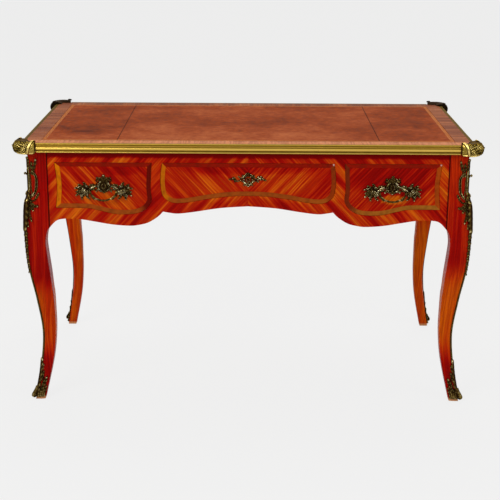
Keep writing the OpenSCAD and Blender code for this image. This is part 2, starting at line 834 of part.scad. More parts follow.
module bolt_mortise(x) {
    bolt_shape(x, opening_z - cut, bolt_top_z + bolt_throw + 2, 1);
}

module lock_case(x, z) {
    color(brass) difference() {
        block([x - lock_w / 2, -board_y - lock_t, z - lock_below], [x + lock_w / 2, -board_y, lock_top_z]);
        bolt_shape(x, z + bolt_rise - bolt_gap, opening_z, bolt_gap);
        keyhole(x, z, board_y + lock_t);
    }
}

module lock_bolt(x, z) {
    color("gray") bolt_shape(x, z + bolt_rise, bolt_top_z, 0);
}

// Places a part drawn in x and z, with its thickness forward, on a drawer's field
module on_field(x, z) {
    translate([x, -field_y, z]) rotate([90, 0, 0]) children();
}

// Pointed leaf from the origin towards +x
module leaf(l, w) {
    r = (l * l + w * w) / (4 * w);
    intersection() {
        translate([l / 2, w / 2 - r]) circle(r);
        translate([l / 2, r - w / 2]) circle(r);
    }
}

module keyhole_flat() {
    circle(key_r);
    translate([-key_w / 2, -key_h]) square([key_w, key_h]);
}

// Crown with three leaves over a keyhole, two stems and two flower sprays that carry the posts
module handle_mount(x) {
    post = handle_span / 2;
    key_up = side_key_z - handle_z;
    color(brass) on_field(x, handle_z) {
        linear_extrude(4) difference() {
            union() {
                translate([0, key_up]) circle(14);
                translate([0, key_up - 8]) circle(10);
                for (a = [40, 90, 140]) translate([0, key_up + 6]) rotate(a) leaf(a == 90 ? 28 : 24, 12);
                for (a = [0, 180]) translate([0, key_up]) rotate(a) leaf(23, 10);
            }
            translate([0, key_up]) keyhole_flat();
        }
        linear_extrude(3) for (m = [0, 1]) mirror([m, 0]) {
            translate([post, 2]) circle(11);
            translate([12, key_up - 4]) rotate(-16) square([post - 18, 5]);
            for (a = [[150, 22], [60, 24], [20, 34], [-25, 36], [-75, 26], [-130, 20]])
                translate([post, 2]) rotate(a[0]) leaf(a[1], 11);
        }
        for (m = [0, 1]) mirror([m, 0, 0]) {
            translate([post + 7, 3, 3]) intersection() {
                sphere(7);
                translate([-10, -10, -1]) cube([20, 20, 10]);
            }
            difference() {
                translate([post, 0, -front_t - 6]) union() {
                    cylinder(h = front_t + 8, r = stud_r);
                    translate([0, 0, front_t + 6]) cylinder(h = pin_out + 5, r = post_r);
                }
                translate([post - post_r - cut, 0, pin_out]) rotate([0, 90, 0])
                    cylinder(h = post_r + cut + 3, r = pin_r + pin_gap);
            }
            translate([post, 0, -front_t - 3]) difference() {
                translate([-5, -5, 0]) cube([10, 10, 3]);
                translate([0, 0, -cut]) cylinder(h = 3 + 2 * cut, r = stud_r + joint_gap);
            }
        }
    }
}

// Rod of radius r bowed down by drop, over the angle a on each side of its middle
module bow(bow_r, drop, a, r) {
    translate([0, bow_r - drop, 0]) rotate(-90 - a)
        rotate_extrude(angle = 2 * a) translate([bow_r, 0]) circle(r);
}

// Bail: a rod bowed down between two knuckles that carry its pins, with a collar at the middle
module bail(x) {
    post = handle_span / 2;
    knuckle_r = bail_r + 1.2;
    half = post - post_r - run_gap - knuckle_r; // the knuckles just clear the posts
    bow_r = (half * half + bail_drop * bail_drop) / (2 * bail_drop);
    color(brass) on_field(x, handle_z) translate([0, 0, pin_out]) {
        bow(bow_r, bail_drop, asin(half / bow_r), bail_r);
        bow(bow_r, bail_drop, 4, knuckle_r);
        for (m = [0, 1]) mirror([m, 0, 0]) translate([half, 0, 0]) rotate([0, 90, 0]) {
            translate([0, 0, -knuckle_r]) cylinder(h = 2 * knuckle_r, r = knuckle_r);
            cylinder(h = post + 2 - half, r = pin_r);
        }
    }
}

// Pierced plate with a diamond middle and a leafy spray on each side
module escutcheon() {
    color(brass) on_field(0, centre_key_z) {
        linear_extrude(3) difference() {
            union() {
                rotate(45) square(25, center = true);
                for (a = [90, 270]) rotate(a) leaf(20.5, 11);
                for (m = [0, 1]) mirror([m, 0]) {
                    translate([16, 0]) circle(8);
                    for (a = [[0, 34], [28, 22], [-28, 22]]) translate([18, 0]) rotate(a[0]) leaf(a[1], 9);
                    translate([9, 0]) leaf(30, 8);
                }
            }
            keyhole_flat();
            for (m = [0, 1]) mirror([m, 0]) translate([16, 0]) circle(3);
        }
    }
}

top_panel();
leather(-leather_x, side_leather_w - leather_x);  // leather_left
leather(side_leather_w - leather_x + joint_gap, leather_x - side_leather_w - joint_gap);  // leather_centre
leather(leather_x - side_leather_w, leather_x);  // leather_right
edge_moulding(top_w / 2 - corner_run, wood_y);  // edge_moulding_front
rotate(180) edge_moulding(top_w / 2 - corner_run, wood_y);  // edge_moulding_back
rotate(-90) edge_moulding(top_d / 2 - corner_run, wood_x);  // edge_moulding_left
rotate(90) edge_moulding(top_d / 2 - corner_run, wood_x);  // edge_moulding_right
at_corner(-1, -1) corner_mount();  // corner_mount_front_left
at_corner(1, -1) corner_mount();  // corner_mount_front_right
at_corner(-1, 1) corner_mount();  // corner_mount_back_left
at_corner(1, 1) corner_mount();  // corner_mount_back_right
at_corner(-1, -1) leg();  // leg_front_left
at_corner(1, -1) leg();  // leg_front_right
at_corner(-1, 1) leg();  // leg_back_left
at_corner(1, 1) leg();  // leg_back_right
at_corner(-1, -1) knee_mount();  // knee_mount_front_left
at_corner(1, -1) knee_mount();  // knee_mount_front_right
at_corner(-1, 1) knee_mount();  // knee_mount_back_left
at_corner(1, 1) knee_mount();  // knee_mount_back_right
at_corner(-1, -1) foot_mount();  // foot_mount_front_left
at_corner(1, -1) foot_mount();  // foot_mount_front_right
at_corner(-1, 1) foot_mount();  // foot_mount_back_left
at_corner(1, 1) foot_mount();  // foot_mount_back_right
color(brass) for (sx = [-1, 1]) for (sy = [-1, 1]) at_corner(sx, sy) arris_band(fillet_band);  // leg_fillets
front_top_rail();
front_apron();
front_stiles();
back_panel();
mirror([1, 0, 0]) side_panel();  // side_panel_left
side_panel();  // side_panel_right
back_panel_mouldings();
side_panel_mouldings();
partitions();
drawer_guides();
glue_blocks();

studs = [side_mid - handle_span / 2, side_mid + handle_span / 2];
mirror([1, 0, 0])  // drawer_left_front
    drawer_front(side_opening, side_box_x0, side_box_x1, side_box_z, side_mid, side_key_z, studs);
mirror([1, 0, 0]) drawer_moulding(side_opening);  // drawer_left_moulding
mirror([1, 0, 0]) drawer_box(side_box_x0, side_box_x1, side_box_z);  // drawer_left_box
mirror([1, 0, 0]) drawer_bottom(side_box_x0, side_box_x1, side_box_z);  // drawer_left_bottom
lock_case(-side_mid, side_key_z);  // drawer_left_lock_case
lock_bolt(-side_mid, side_key_z);  // drawer_left_lock_bolt
drawer_front(centre_opening, -centre_box_x, centre_box_x, centre_box_z, 0, centre_key_z, []);  // drawer_centre_front
drawer_moulding(centre_opening);  // drawer_centre_moulding
drawer_box(-centre_box_x, centre_box_x, centre_box_z);  // drawer_centre_box
drawer_bottom(-centre_box_x, centre_box_x, centre_box_z);  // drawer_centre_bottom
lock_case(0, centre_key_z);  // drawer_centre_lock_case
lock_bolt(0, centre_key_z);  // drawer_centre_lock_bolt
drawer_front(side_opening, side_box_x0, side_box_x1, side_box_z, side_mid, side_key_z, studs);  // drawer_right_front
drawer_moulding(side_opening);  // drawer_right_moulding
drawer_box(side_box_x0, side_box_x1, side_box_z);  // drawer_right_box
drawer_bottom(side_box_x0, side_box_x1, side_box_z);  // drawer_right_bottom
lock_case(side_mid, side_key_z);  // drawer_right_lock_case
lock_bolt(side_mid, side_key_z);  // drawer_right_lock_bolt
handle_mount(-side_mid);  // handle_mount_left
handle_mount(side_mid);  // handle_mount_right
bail(-side_mid);  // bail_left
bail(side_mid);  // bail_right
escutcheon();
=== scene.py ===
"""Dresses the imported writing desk: veneer laid on the slant, tooled leather and cast mounts.

Lengths in the ornament tables are in millimetres and are turned into metres when a form is placed.
"""
import logging
import math
from collections.abc import Callable, Sequence
from dataclasses import dataclass
from enum import Enum

import bpy
import numpy as np
from mathutils import Matrix, Vector


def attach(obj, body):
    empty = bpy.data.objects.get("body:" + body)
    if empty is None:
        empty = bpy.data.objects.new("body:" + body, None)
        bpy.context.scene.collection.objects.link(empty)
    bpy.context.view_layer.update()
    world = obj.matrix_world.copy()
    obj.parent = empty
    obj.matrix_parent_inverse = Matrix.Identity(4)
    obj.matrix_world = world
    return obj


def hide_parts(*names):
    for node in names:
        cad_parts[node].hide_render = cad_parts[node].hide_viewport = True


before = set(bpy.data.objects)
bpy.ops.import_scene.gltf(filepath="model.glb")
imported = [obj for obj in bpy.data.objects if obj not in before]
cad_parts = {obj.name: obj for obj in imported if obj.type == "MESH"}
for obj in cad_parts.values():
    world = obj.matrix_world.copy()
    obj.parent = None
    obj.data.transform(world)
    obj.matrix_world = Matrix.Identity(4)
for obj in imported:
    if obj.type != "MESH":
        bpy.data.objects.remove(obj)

logging.basicConfig(level=logging.INFO, format="%(message)s")
LOG = logging.getLogger("desk")

MM = 0.001
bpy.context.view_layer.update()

TOP_Z = 780.0
UNDERSIDE_Z = 753.5
WOOD_X, WOOD_Y = 632.5, 340.0
EDGE = 10.0
LEATHER_X, LEATHER_Y = 590.0, 297.5
SEAM_X = 374.5
POST_X, POST_Y = 625.5, 333.0
JOINT_X, JOINT_Y = 571.5, 279.0
JOINT_Z = 530.0
FIELD_Y = 327.0
UNDER = -0.6
CORNERS = {
    "front_left": (-1, -1), "front_right": (1, -1), "back_left": (-1, 1), "back_right": (1, 1)
}

Colour = tuple[float, float, float]
Mapping = Callable[[np.ndarray], np.ndarray]


# ---------------------------------------------------------------- shader maths


class Socket:
    """An output of a shader node; its operators add Math nodes, so maths reads as an expression."""

    def __init__(self, graph: "Graph", output: bpy.types.NodeSocket) -> None:
        """Wraps output, which belongs to graph."""
        self.graph = graph
        self.output = output

    def _math(
        self, operation: str, *others: "float | Socket", first: "float | Socket | None" = None,
    ) -> "Socket":
        """Adds a Math node.

        Args:
            operation: the Math node's operation.
            others: the operands after this socket.
            first: the operand to put before this socket, for reflected operators.

        Returns:
            The result of the operation.
        """
        operands = [self, *others] if first is None else [first, self]
        return self.graph.node("Math", {"operation": operation}, dict(enumerate(operands)))

    def __add__(self, other: "float | Socket") -> "Socket":
        """Sum."""
        return self._math("ADD", other)

    def __radd__(self, other: float) -> "Socket":
        """Sum, number first."""
        return self._math("ADD", first=other)

    def __sub__(self, other: "float | Socket") -> "Socket":
        """Difference."""
        return self._math("SUBTRACT", other)

    def __rsub__(self, other: float) -> "Socket":
        """Difference, number first."""
        return self._math("SUBTRACT", first=other)

    def __mul__(self, other: "float | Socket") -> "Socket":
        """Product."""
        return self._math("MULTIPLY", other)

    def __rmul__(self, other: float) -> "Socket":
        """Product, number first."""
        return self._math("MULTIPLY", first=other)

    def __pow__(self, other: float) -> "Socket":
        """Power."""
        return self._math("POWER", other)

    def __gt__(self, other: "float | Socket") -> "Socket":
        """1 where this is greater, else 0."""
        return self._math("GREATER_THAN", other)

    def __lt__(self, other: "float | Socket") -> "Socket":
        """1 where this is less, else 0."""
        return self._math("LESS_THAN", other)

    def __abs__(self) -> "Socket":
        """Absolute value."""
        return self._math("ABSOLUTE")

    def sine(self) -> "Socket":
        """Sine."""
        return self._math("SINE")

    def sign(self) -> "Socket":
        """-1, 0 or 1."""
        return self._math("SIGN")

    def lowest(self, other: "float | Socket") -> "Socket":
        """The lesser of the two."""
        return self._math("MINIMUM", other)

    def highest(self, other: "float | Socket") -> "Socket":
        """The greater of the two."""
        return self._math("MAXIMUM", other)

    def step(self, low: float, high: float) -> "Socket":
        """Smooth rise from 0 at low to 1 at high, or a fall where low is above high.

        Args:
            low: where it starts.
            high: where it ends.

        Returns:
            The step.
        """
        falls = low > high
        ends = (high, low) if falls else (low, high)
        rise = self.graph.node(
            "MapRange", {"interpolation_type": "SMOOTHSTEP"}, {0: self, 1: ends[0], 2: ends[1]}
        )
        return 1 - rise if falls else rise

    def band(self, centre: float, half: float, soft: float) -> "Socket":
        """1 within half of centre, falling to 0 over soft."""
        return abs(self - centre).step(half + soft, half)


class Graph:
    """The node tree of one material or world."""

    def __init__(self, tree: bpy.types.NodeTree) -> None:
        """Empties tree and keeps it."""
        self.tree = tree
        tree.nodes.clear()

    def node(
        self, kind: str, settings: dict[str, object] | None = None,
        sockets: "dict[str | int, object] | None" = None, output: str | int = 0,
    ) -> Socket:
        """Adds a node.

        Args:
            kind: its type, without ShaderNode.
            settings: its properties, set first; stops are a ramp's (place, colour) pairs.
            sockets: values or links of its inputs, by name or number.
            output: the output to hand back, by name or number.

        Returns:
            That output.
        """
        made = self.tree.nodes.new("ShaderNode" + kind)
        for key, setting in (settings or {}).items():
            if key == "stops":
                self._set_stops(made.color_ramp, setting)
            else:
                setattr(made, key, setting)
        for key, value in (sockets or {}).items():
            if isinstance(value, Socket):
                self.tree.links.new(value.output, made.inputs[key])
            else:
                made.inputs[key].default_value = self._fitted(value, made.inputs[key])
        return Socket(self, made.outputs[output]) if len(made.outputs) else Socket(self, None)

    @staticmethod
    def _fitted(value: object, socket: bpy.types.NodeSocket) -> object:
        """A colour gets its fourth number where the socket needs one.

        Args:
            value: the value to set.
            socket: the socket that takes it.

        Returns:
            The value, as the socket takes it.
        """
        if socket.type == "RGBA" and len(value) == 3:
            return (*value, 1.0)
        return value

    @staticmethod
    def _set_stops(ramp: bpy.types.ColorRamp, stops: Sequence[tuple[float, Colour]]) -> None:
        """Gives ramp these (place, colour) stops.

        Args:
            ramp: the ramp.
            stops: its new stops.
        """
        while len(ramp.elements) < len(stops):
            ramp.elements.new(1.0)
        for element, (place, colour) in zip(ramp.elements, stops):
            element.position = place
            element.color = (*colour, 1.0)

    def position(self) -> tuple[Socket, Socket, Socket]:
        """The point's x, y and z in the desk's frame, in metres."""
        return self.split(self.node("TexCoord", output="Object"))

    def split(self, vector: Socket) -> tuple[Socket, Socket, Socket]:
        """The x, y and z of a vector."""
        parts = self.node("SeparateXYZ", sockets={0: vector}).output.node.outputs
        return tuple(Socket(self, part) for part in parts)

    def vector(self, x: "float | Socket", y: "float | Socket", z: "float | Socket") -> Socket:
        """A vector from three values."""
        return self.node("CombineXYZ", sockets={0: x, 1: y, 2: z})

    def noise(
        self, place: Socket, scale: float = 1.0, detail: float = 3.0, rough: float = 0.5,
    ) -> Socket:
        """Noise between 0 and 1 at place.

        Args:
            place: where it is read.
            scale: waves a metre, if place is in metres.
            detail: how many finer layers.
            rough: how strong the finer layers are.

        Returns:
            The noise.
        """
        values = {"Vector": place, "Scale": scale, "Detail": detail, "Roughness": rough}
        return self.node("TexNoise", sockets=values)

    def cells(self, place: Socket, scale: float) -> Socket:
        """Distance to the nearest point of a cell pattern."""
        return self.node(
            "TexVoronoi", {"feature": "F1"}, {"Vector": place, "Scale": scale}, "Distance"
        )

    def ramp(self, factor: Socket, stops: Sequence[tuple[float, Colour]]) -> Socket:
        """Colour by factor through the (place, colour) stops."""
        return self.node("ValToRGB", {"stops": stops}, {0: factor}, "Color")

    def mix(self, factor: Socket, low: "Colour | Socket", high: "Colour | Socket") -> Socket:
        """Colour between low and high, by factor."""
        return self.node("Mix", {"data_type": "RGBA"}, {0: factor, 6: low, 7: high}, 2)

    def attribute(self, name: str) -> Socket:
        """The piece's own attribute of that name, as a number."""
        return self.node("Attribute", {"attribute_name": name}, output="Fac")

    def bump(self, height: Socket, distance: float) -> Socket:
        """Normal that a height, in units of distance millimetres, gives."""
        return self.node(
            "Bump", sockets={"Height": height, "Distance": distance * MM, "Strength": 1.0}
        )

    def surface(self, sockets: dict[str, object]) -> None:
        """Ends the tree with a Principled shader that has these inputs."""
        shader = self.node("BsdfPrincipled", sockets=sockets)
        self.node("OutputMaterial", sockets={"Surface": shader})


@dataclass(frozen=True)
class Finish:
    """A finish with a name; each kind builds its own nodes."""

    name: str

    def build(self, graph: Graph) -> None:
        """Adds the finish's nodes to graph."""
        raise NotImplementedError

    def material(self) -> bpy.types.Material:
        """The material, made once for each name.

        Returns:
            The material.
        """
        found = bpy.data.materials.get(self.name)
        if found is not None:
            return found
        made = bpy.data.materials.new(self.name)
        made.use_nodes = True
        self.build(Graph(made.node_tree))
        return made


class Lay(Enum):
    """How a veneer's grain lies."""

    FRONT = "on the slant over x and z, mirrored about the middle"
    SIDE = "on the slant over y and z, mirrored about the middle"
    UPRIGHT = "straight up"
    ACROSS_TOP = "across each side of the border round the top, mitred"


@dataclass(frozen=True)
class Zone:
    """A soft patch of a finish, in millimetres: its middle, its half sizes (0 where that way
    doesn't count), and how much it adds."""

    middle: tuple[float, float, float]
    half: tuple[float, float, float]
    adds: float = 1.0

    def share(self, place: tuple[Socket, Socket, Socket]) -> Socket:
        """How much it adds at place: all of it at the middle, none at 1.3 times the half sizes.

        Args:
            place: the point's x, y and z.

        Returns:
            What it adds there.
        """
        sides = [
            (axis - middle * MM) * (1 / (half * MM))
            for axis, middle, half in zip(place, self.middle, self.half) if half
        ]
        away = sum((side * side for side in sides[1:]), sides[0] * sides[0])
        return away.step(1.7, 0.1) * self.adds


@dataclass(frozen=True)
class Veneer(Finish):
    """Polished veneer: dark lines, broad streaks and fine pores along the grain, under a gloss."""

    lay: Lay = Lay.FRONT
    slant: float = 45.0
    tones: tuple[Colour, ...] = (
        (0.170, 0.0008, 0.0003), (0.320, 0.0030, 0.0006), (0.430, 0.0270, 0.0010),
        (0.570, 0.1150, 0.0030),
    )
    wide: float = 30.0
    sway: float = 0.014
    broad: float = 2.3
    streaky: float = 1.0
    warmth: float = 0.0
    gloss: float = 0.24
    zones: tuple[Zone, ...] = ()
    bare: tuple[Zone, ...] = ()
    raw_wood: Colour = (0.58, 0.30, 0.13)
    joint: Colour = (0.02, 0.001, 0.0005)
    joints: bool = False
    seed: float = 0.0

    def grain(self, graph: Graph) -> tuple[Socket, Socket, Socket]:
        """Coordinates across the grain, along it and through the wood.

        Args:
            graph: the material's nodes.

        Returns:
            The three coordinates, in metres.
        """
        x, y, z = graph.position()
        slant = math.radians(self.slant)
        if self.lay is Lay.UPRIGHT:
            return x + y * 0.7, z, x - y
        if self.lay is Lay.ACROSS_TOP:
            on_side = (abs(x) - LEATHER_X * MM) > (abs(y) - LEATHER_Y * MM)
            across = x + (y - x) * on_side
            along = y + (x - y) * on_side
            return across, along, z + on_side * 3
        flat, through = (x, y) if self.lay is Lay.FRONT else (y, x)
        half = abs(flat)
        across = z * math.cos(slant) - half * math.sin(slant)
        along = half * math.cos(slant) + z * math.sin(slant)
        return across, along, through + flat.sign() * 0.35

    def joint_lines(self, graph: Graph) -> Socket:
        """1 on the dark lines where the legs' posts meet the boards, above the knees.

        Args:
            graph: the material's nodes.

        Returns:
            The mask of the lines.
        """
        x, y, z = graph.position()
        beside = abs(abs(x) - JOINT_X * MM).lowest(abs(abs(y) - JOINT_Y * MM))
        return beside.step(0.0026, 0.0010) * (z > JOINT_Z * MM)

    def build(self, graph: Graph) -> None:
        """Streaks from stretched noise, ramped through the tones; pores and streaks also give the
        bump.

        Args:
            graph: the material's nodes.
        """
        across, along, through = self.grain(graph)
        swayed = graph.vector(across * 9, along * 3, through * 2 + self.seed)
        across = across + (graph.noise(swayed, detail=2.0) - 0.5) * self.sway
        seed = through * 3 + self.seed

        def noise(
            wide: float, long: float, shift: float, detail: float, rough: float = 0.5,
        ) -> Socket:
            """Noise with so many waves a metre across the grain and along it."""
            place = graph.vector(across * wide, along * long, seed + shift)
            return graph.noise(place, 1.0, detail, rough)

        broad = noise(self.wide, 2.2, 0, 2.0)
        streak = noise(190, 4.5, 7, 4.0, 0.65)
        fine = noise(900, 14, 3, 3.0, 0.6)
        pores = noise(2600, 110, 5, 1.0).step(0.64, 0.74)
        tone = (broad - 0.5) * self.broad + (streak - 0.5) * self.streaky + (fine - 0.5) * 0.3
        tone = tone + (0.5 + self.warmth)
        place = graph.position()
        for zone in self.zones:
            tone = tone + zone.share(place)
        colour = graph.ramp(tone, list(zip((0.10, 0.38, 0.62, 0.92), self.tones)))
        lines = (1 - abs(streak - 0.47) * 16).highest(0.0) * 0.5
        colour = graph.mix(lines, colour, self.tones[0])
        colour = graph.mix(pores * 0.4, colour, self.tones[0])
        for zone in self.bare:
            colour = graph.mix(zone.share(place) * (fine + 0.4), colour, self.raw_wood)
        if self.joints:
            colour = graph.mix(self.joint_lines(graph) * 0.85, colour, self.joint)
        height = fine * 0.5 + streak * 0.6 - pores * 0.8
        graph.surface({
            "Base Color": colour,
            "Roughness": self.gloss + (fine - 0.5) * 0.12 + pores * 0.15,
            "Specular IOR Level": 0.02,
            "Coat Weight": 0.015,
            "Coat Roughness": 0.05,
            "Normal": graph.bump(height, 0.06),
        })


@dataclass(frozen=True)
class BandingPaintedLight(Finish):
    """Cross-banded bevels, cut along the grain, painted in gold, brown or red tones by the way that
    a
    bevel leans: painted light where it leans right, painted shade where it leans left or faces
    down, and painted sheen where it faces up."""

    lay: Lay = Lay.FRONT
    # Painted light and shade, picked by the way a bevel leans: the first pair is painted light on
    # bevels that lean right, the second pair painted shade on bevels that lean left, the next
    # painted shade on bevels that face down, and the last pair painted sheen on bevels that face
    # up.
    lit_golden: Colour = (0.560, 0.145, 0.001)
    lit_dusky: Colour = (0.160, 0.016, 0.003)
    shaded: Colour = (0.110, 0.003, 0.001)
    shaded_ruddy: Colour = (0.330, 0.050, 0.003)
    under: Colour = (0.240, 0.0060, 0.0010)
    ledge: Colour = (0.270, 0.052, 0.005)
    sheen_ledge_right: Colour = (0.290, 0.098, 0.010)
    line: Colour = (0.05, 0.008, 0.003)
    # A pale painted glint, and the zones at the mitre corners where it is painted.
    mitre_glint: Colour = (0.72, 0.42, 0.36)
    worn: tuple[Zone, ...] = ()

    def build(self, graph: Graph) -> None:
        """The way it leans picks a painted lit, shaded or sheened colour, the upright bevels also
        by how far along the desk they are; streaks that run with the bevel stir it, and small pale
        painted glints mark the mitres.

        Args:
            graph: the material's nodes.
        """
        x, y, z = graph.position()
        lean_x, lean_y, lean_z = graph.split(graph.node("TexCoord", output="Normal"))
        right = lean_x if self.lay is Lay.FRONT else lean_y
        # Painted light and shade by lean: light on bevels leaning right, shade on those leaning
        # left or facing down, sheen on those facing up.
        lit_golden = graph.mix(x.step(-0.5, 0.3), self.lit_golden, self.lit_dusky)
        shaded = graph.mix(x.step(-0.1, 0.56), self.shaded, self.shaded_ruddy)
        ledge = graph.mix(x.step(0.1, 0.5), self.ledge, self.sheen_ledge_right)
        colour = graph.mix(right.step(0.07, 0.2), ledge, lit_golden)
        colour = graph.mix(right.step(-0.07, -0.2), colour, shaded)
        colour = graph.mix(lean_z.step(-0.1, -0.2), colour, self.under)
        streak = graph.noise(graph.vector(x * 60, y * 60, z * 60), 1.0, 4.0, 0.6)
        fine = graph.noise(graph.vector(x, y, z), 700.0, 3.0)
        colour = graph.mix((streak - 0.42).highest(0.0) * 1.5, colour, self.line)
        # Pale painted glints on the mitre corners.
        for zone in self.worn:
            colour = graph.mix(zone.share((x, y, z)), colour, self.mitre_glint)
        graph.surface({
            "Base Color": colour,
            "Roughness": 0.3 + (fine - 0.5) * 0.2,
            "Specular IOR Level": 0.02,
            "Normal": graph.bump(streak * 0.6 + fine * 0.4, 0.06),
        })


@dataclass(frozen=True)
class PlainWood(Finish):
    """Planed oak with open pores along the grain."""

    pale: Colour = (0.50, 0.31, 0.15)
    dark: Colour = (0.24, 0.125, 0.05)

    def build(self, graph: Graph) -> None:
        """Growth bands bent by noise, with short dark pores along the grain.

        Args:
            graph: the material's nodes.
        """
        across, along, through = graph.position()
        sway = graph.noise(graph.vector(across * 5, along * 1.5, through * 5), detail=2.0)
        rings = ((across * 260 + through * 90 + sway * 22).sine() * 0.5 + 0.5) ** 1.6
        pores = graph.noise(graph.vector(across * 1400, along * 45, through * 1400), detail=2.0)
        pores = pores.step(0.56, 0.7)
        wear = graph.noise(graph.vector(across * 8, along * 4, through * 8), detail=4.0)
        tone = rings * 0.45 + pores * 0.4 + (wear - 0.5) * 0.5
        colour = graph.ramp(tone, [(0.0, self.pale), (0.9, self.dark)])
        graph.surface({
            "Base Color": colour,
            "Roughness": 0.62 + pores * 0.2,
            "Normal": graph.bump(rings * 0.3 - pores, 0.1),
        })


@dataclass(frozen=True)
class Hide(Finish):
    """Worn leather with a gilt tooled band round the field, darker at the seams."""

    dark: Colour = (0.085, 0.014, 0.003)
    worn: Colour = (0.243, 0.042, 0.008)
    pale: Colour = (0.390, 0.102, 0.032)
    gilt: Colour = (0.50, 0.17, 0.03)
    ground: Colour = (0.36, 0.10, 0.016)
    scuffed: Colour = (0.42, 0.15, 0.06)
    stained: Colour = (0.05, 0.008, 0.003)
    seam: Colour = (0.05, 0.015, 0.008)
    band_in: float = 6.6
    band_half: float = 3.0
    lines_in: tuple[float, float] = (2.6, 10.8)
    line_half: float = 0.4
    stamp_long: float = 7.5
    stamp_high: float = 4.2
    stains: tuple[Zone, ...] = (
        Zone((-478, -160, 0), (22, 16, 0), 0.8), Zone((-505, -168, 0), (16, 10, 0), 0.5)
    )
    clouds: tuple[Zone, ...] = (
        Zone((20, -33, 0), (230, 60, 0), -0.16), Zone((160, 40, 0), (120, 50, 0), -0.14),
        Zone((-100, -230, 0), (400, 70, 0), 0.16), Zone((480, 0, 0), (110, 300, 0), -0.16),
        Zone((-480, 60, 0), (110, 300, 0), -0.10),
    )

    def build(self, graph: Graph) -> None:
        """Pebbled grain from cells, stains from noise, and a stamped band from sines along the
        edge.

        Args:
            graph: the material's nodes.
        """
        x, y, z = graph.position()
        in_x, in_y = LEATHER_X * MM - abs(x), LEATHER_Y * MM - abs(y)
        edge = in_x.lowest(in_y)
        place = graph.vector(x, y, z)
        cloud = graph.noise(place, 7.0, 5.0, 0.62)
        mottle = graph.noise(place, 60.0, 4.0, 0.65)
        pebble = graph.cells(place, 900.0)
        scuff = graph.noise(graph.vector(x * 14, y * 90, z), 1.0, 4.0, 0.7).step(0.6, 0.78)
        tone = (cloud - 0.5) * 1.3 + mottle + 0.02 - edge.step(0.012, 0.0) * 0.1
        for zone in self.clouds:
            tone = tone + zone.share((x, y, z))
        colour = graph.ramp(tone, [(0.05, self.dark), (0.5, self.worn), (0.95, self.pale)])
        colour = graph.mix(scuff * 0.3, colour, self.scuffed)
        for stain in self.stains:
            colour = graph.mix(stain.share((x, y, z)) * (mottle + 0.3), colour, self.stained)
        seam = abs(abs(x) - SEAM_X * MM)
        colour = graph.mix(seam.step(0.0022, 0.0006) * 0.8, colour, self.seam)
        run = x + (y - x) * (in_x < in_y)
        across = (edge - self.band_in * MM) * (math.pi / (self.stamp_high * MM))
        along = run * (2 * math.pi / (self.stamp_long * MM))
        stamp = (along.sine() * across.sine()).step(-0.1, 0.35)
        in_band = edge.band(self.band_in * MM, self.band_half * MM, 0.3 * MM)
        near, far = (edge.band(line * MM, self.line_half * MM, 0.2 * MM) for line in self.lines_in)
        tooled = (in_band * stamp).highest(near.highest(far))
        kept = graph.noise(place, 160.0, 3.0).step(0.32, 0.5)
        ground = edge.band((self.band_in + 0.1) * MM, (self.band_half + 1.6) * MM, 0.4 * MM)
        colour = graph.mix(ground * 0.6, colour, self.ground)
        colour = graph.mix(tooled * kept * 0.85, colour, self.gilt)
        height = pebble * 0.5 + mottle * 0.6 - tooled * 2.2 - seam.step(0.0012, 0.0003) * 3
        graph.surface({
            "Base Color": colour,
            "Roughness": 0.55 + (mottle - 0.5) * 0.3 - tooled * 0.08,
            "Metallic": tooled * kept * 0.4,
            "Specular IOR Level": 0.008,
            "Normal": graph.bump(height, 0.16),
        })


@dataclass(frozen=True)
class CastMetal(Finish):
    """Cast and chased metal: bright where it is rubbed and with painted highlights and glints, dark
    with patina in the hollows, finely pitted.
    """

    # Rubbed gilt and painted highlight: the top of the crest ramp, where specks become painted
    # glints.
    bright: Colour = (0.70, 0.58, 0.30)
    gold: Colour = (0.230, 0.175, 0.040)
    body: Colour = (0.060, 0.044, 0.012)
    hollow: Colour = (0.010, 0.007, 0.003)
    stops: tuple[float, float, float, float] = (0.22, 0.56, 0.80, 1.0)
    rough: float = 0.3
    stir: float = 1.0

    def build(self, graph: Graph) -> None:
        """The crest attribute, stirred by noise, is ramped through hollow, body, gold and bright;
        specks of the noise that reach the bright stop are painted glints.

        Args:
            graph: the material's nodes.
        """
        place = graph.vector(*graph.position())
        crest = graph.attribute("crest")
        cloud = graph.noise(place, 55.0, 4.0, 0.6)
        speck = graph.noise(place, 420.0, 4.0, 0.65)
        pits = graph.cells(place, 1500.0)
        # Fine specks lift the tone into the bright stop as painted glints.
        tone = crest + ((cloud - 0.5) * 0.5 + (speck - 0.5) * 1.2) * self.stir
        tones = (self.hollow, self.body, self.gold, self.bright)
        colour = graph.ramp(tone, list(zip(self.stops, tones)))
        height = speck * 0.7 - pits * 0.35
        graph.surface({
            "Base Color": colour,
            "Metallic": tone.step(0.2, 0.7) * 0.3 + 0.7,
            "Roughness": (self.rough + (0.75 - tone) * 0.35).highest(0.14).lowest(0.7),
            "Specular IOR Level": 0.1,
            "Specular Tint": (0.62, 0.50, 0.32),
            "Normal": graph.bump(height, 0.12),
        })


@dataclass(frozen=True)
class PlateMetal(Finish):
    """Filed and polished plate metal, with file lines along z and a thin tarnish."""

    bright: Colour = (0.66, 0.50, 0.21)
    dull: Colour = (0.30, 0.21, 0.08)
    rough: float = 0.32

    def build(self, graph: Graph) -> None:
        """File lines from noise stretched along z, tarnish from slow noise.

        Args:
            graph: the material's nodes.
        """
        x, y, z = graph.position()
        lines = graph.noise(graph.vector(x * 1800, y * 1800, z * 40), 1.0, 2.0)
        tarnish = graph.noise(graph.vector(x, y, z), 60.0, 4.0)
        colour = graph.mix(tarnish.step(0.35, 0.75), self.bright, self.dull)
        graph.surface({
            "Base Color": colour,
            "Metallic": 1.0,
            "Roughness": self.rough + (tarnish - 0.5) * 0.3 + (lines - 0.5) * 0.15,
            "Normal": graph.bump(lines, 0.05),
        })


# ---------------------------------------------------------------- surface maths


